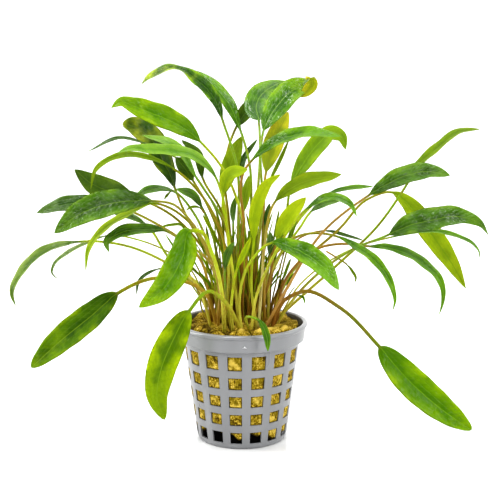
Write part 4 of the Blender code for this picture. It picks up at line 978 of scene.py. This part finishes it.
def shoots_mesh(count, back):
    """Shoots as tubes (shoot, way along, way round): foot + up·tall·t + outwards·lean·t², the section going
    from a circle to a flat lens that is widest at nine tenths of the way.
    """
    t = np.linspace(0, 1, SHOOT_RINGS)[None]
    reach = SHOOT_REACH * np.sqrt(draw.random(count))
    angle = draw.uniform(0, 2 * math.pi, count)
    right, behind = reach * np.sin(angle), back - 0.7 * reach * np.cos(angle)
    foot = np.stack([right, behind, np.full(count, FOOT_HEIGHT - SUNK)], -1)
    tall = draw.uniform(*SHOOT_TALL, count)
    lean = foot[:, :2] * draw.uniform(0.3, 1.4, (count, 1)) + draw.normal(0, 2.6, (count, 2))
    bow = draw.normal(0, 2.0, (count, 2))
    flat = foot[:, None, :2] + lean[:, None] * t[..., None] ** 2 + bow[:, None] * np.sin(math.pi * t)[..., None]
    path = np.concatenate([flat, foot[:, None, 2:] + (tall[:, None] * t)[..., None]], -1)
    way = np.gradient(path, axis=1)
    way /= np.linalg.norm(way, axis=-1, keepdims=True)
    facing = draw.uniform(0, 2 * math.pi, count)
    one = np.cross(way, np.stack([np.cos(facing), np.sin(facing), 0 * facing], -1)[:, None])
    one /= np.linalg.norm(one, axis=-1, keepdims=True)
    two = np.cross(way, one)
    blade = np.clip((t - 0.72) / 0.28, 0, 1)
    stalk = draw.uniform(0.3, 0.5, (count, 1)) * (1 - 0.25 * t)
    wide = stalk + draw.uniform(0.05, 0.45, (count, 1)) * outline(blade, (0.8, 0.7))
    wide = wide * (1 - blade**12) + 0.05
    thick = stalk + (0.12 - stalk) * np.clip(blade / 0.2, 0, 1)
    a = np.linspace(0, 2 * math.pi, SHOOT_AROUND, endpoint=False)
    across, over = np.cos(a), np.sin(a)
    bowl = 0.5 * wide[..., None] * (np.abs(across) - 0.4) * np.clip(blade / 0.2, 0, 1)[..., None]
    out = (wide[..., None] * across)[..., None] * one[:, :, None]
    up = (thick[..., None] * over + bowl)[..., None] * two[:, :, None]
    points = (path[:, :, None] + out + up).reshape(-1, 3)
    starts = np.arange(count)[:, None, None] * SHOOT_RINGS * SHOOT_AROUND
    faces = (starts + tube_faces(SHOOT_RINGS, SHOOT_AROUND)[:, ::-1]).reshape(-1, 4).tolist()
    ends = starts[:, 0] + np.arange(SHOOT_AROUND)
    faces += ends[:, ::-1].tolist() + (ends + (SHOOT_RINGS - 1) * SHOOT_AROUND).tolist()
    along = np.where(blade > 0, blade, t / 0.72 - 1)[..., None]
    marks = {"across": across, "along": along, "run": along * 10, "under": -over, "span": wide[..., None] * across}
    grid = (count, SHOOT_RINGS, SHOOT_AROUND)
    return points, faces, {key: np.broadcast_to(value, grid).ravel() for key, value in marks.items()}


for skin, stem, count, back in SHOOTS:
    if (skin, stem) not in finishes:
        finishes[skin, stem] = leaf_finish(skin, stem)
    shoot_points, shoot_faces, shoot_marks = shoots_mesh(count, back)
    shoots = cast(f"young_{skin}_shoots", shoot_points, shoot_faces, finishes[skin, stem])
    mark_points(shoots, shoot_marks)

# Studio. A plain white floor that runs off into white, strip lights at each side and at the front right, soft
# boxes above and at the front left, a room that is brighter behind, and the camera where the photograph was
# taken from: 0.46 m away, looking ten degrees down.
CAMERA_PLACE = (0.00343, -0.4624, 0.162)
CAMERA_DOWN = 10.06
CAMERA_LENS = 81.57
SENSOR = 36.0
FLOOR_HALF = 6.0
FLOOR_WHITE = (214, 214, 214)
FLOOR_GLOW = 0.04
LIGHTS = [
    ("key_strip", (0.55, -0.72, 0.47), 0.14, 0.85, 5.4),
    ("left_strip", (-0.95, 0.05, 0.5), 0.26, 0.8, 9.0),
    ("right_strip", (0.95, 0.05, 0.5), 0.26, 0.8, 3.2),
    ("top_softbox", (-0.1, -0.1, 1.05), 0.26, 0.26, 4.4),
    ("front_softbox", (-0.4, -0.75, 0.8), 0.2, 0.2, 5.0),
]
BACKDROP = 1.0
ROOM_FRONT = 0.2
ROOM_BACK = 1.8
AIM = (0.0, 0.0, 0.08)


def floor_finish():
    """Matt white board with a faint unevenness and just enough polish to mirror the pot weakly."""
    finish = Finish("white_floor")
    patch = finish.cloud(60.0, 2.0)
    rough = finish.ease(patch, 0.3, 0.7, 0.15, 0.17)
    finish.feed(finish.shader.inputs["Emission Color"], (1.0, 1.0, 1.0))
    return finish.done(paint(*FLOOR_WHITE), rough, Specular_IOR_Level=0.35, Emission_Strength=FLOOR_GLOW)


floor_mesh = bpy.data.meshes.new("studio_floor")
edge = FLOOR_HALF
floor_mesh.from_pydata([(-edge, -edge, 0), (edge, -edge, 0), (edge, edge, 0), (-edge, edge, 0)], [], [(0, 1, 2, 3)])
floor_mesh.materials.append(floor_finish())
floor = bpy.data.objects.new("studio_floor", floor_mesh)
bpy.context.scene.collection.objects.link(floor)

for name, place, wide, tall, watts in LIGHTS:
    lamp = bpy.data.lights.new(name, "AREA")
    lamp.shape = "RECTANGLE"
    lamp.size = wide
    lamp.size_y = tall
    lamp.energy = watts
    light = bpy.data.objects.new(name, lamp)
    light.location = place
    away = np.array(place) - AIM
    light.rotation_euler = (
        math.acos(away[2] / np.linalg.norm(away)), 0, math.atan2(away[0], -away[1]),
    )
    bpy.context.scene.collection.objects.link(light)

world = bpy.data.worlds.new("white_studio")
world.use_nodes = True
nodes, links = world.node_tree.nodes, world.node_tree.links
room = nodes["Background"]
room.inputs["Color"].default_value = (1, 1, 1, 1)
heading = nodes.new("ShaderNodeSeparateXYZ")
links.new(nodes.new("ShaderNodeTexCoord").outputs["Generated"], heading.inputs[0])
falloff = nodes.new("ShaderNodeMapRange")
falloff.interpolation_type = "SMOOTHSTEP"
for socket, amount in zip(falloff.inputs[1:5], (-0.6, 0.8, ROOM_FRONT, ROOM_BACK)):
    socket.default_value = amount
links.new(heading.outputs["Y"], falloff.inputs[0])
links.new(falloff.outputs[0], room.inputs["Strength"])
backdrop = nodes.new("ShaderNodeBackground")
backdrop.inputs["Color"].default_value = (1, 1, 1, 1)
backdrop.inputs["Strength"].default_value = BACKDROP
either = nodes.new("ShaderNodeMixShader")
links.new(nodes.new("ShaderNodeLightPath").outputs["Is Camera Ray"], either.inputs[0])
links.new(room.outputs[0], either.inputs[1])
links.new(backdrop.outputs[0], either.inputs[2])
links.new(either.outputs[0], nodes["World Output"].inputs["Surface"])
bpy.context.scene.world = world
bpy.context.scene.view_settings.view_transform = "Standard"
bpy.context.scene.view_settings.look = "Medium High Contrast"

camera = bpy.data.objects.new("camera", bpy.data.cameras.new("camera"))
camera.data.sensor_width = SENSOR
camera.data.lens = CAMERA_LENS
camera.location = CAMERA_PLACE
camera.rotation_euler = (math.radians(90 - CAMERA_DOWN), 0, 0)
bpy.context.scene.collection.objects.link(camera)
bpy.context.scene.camera = camera
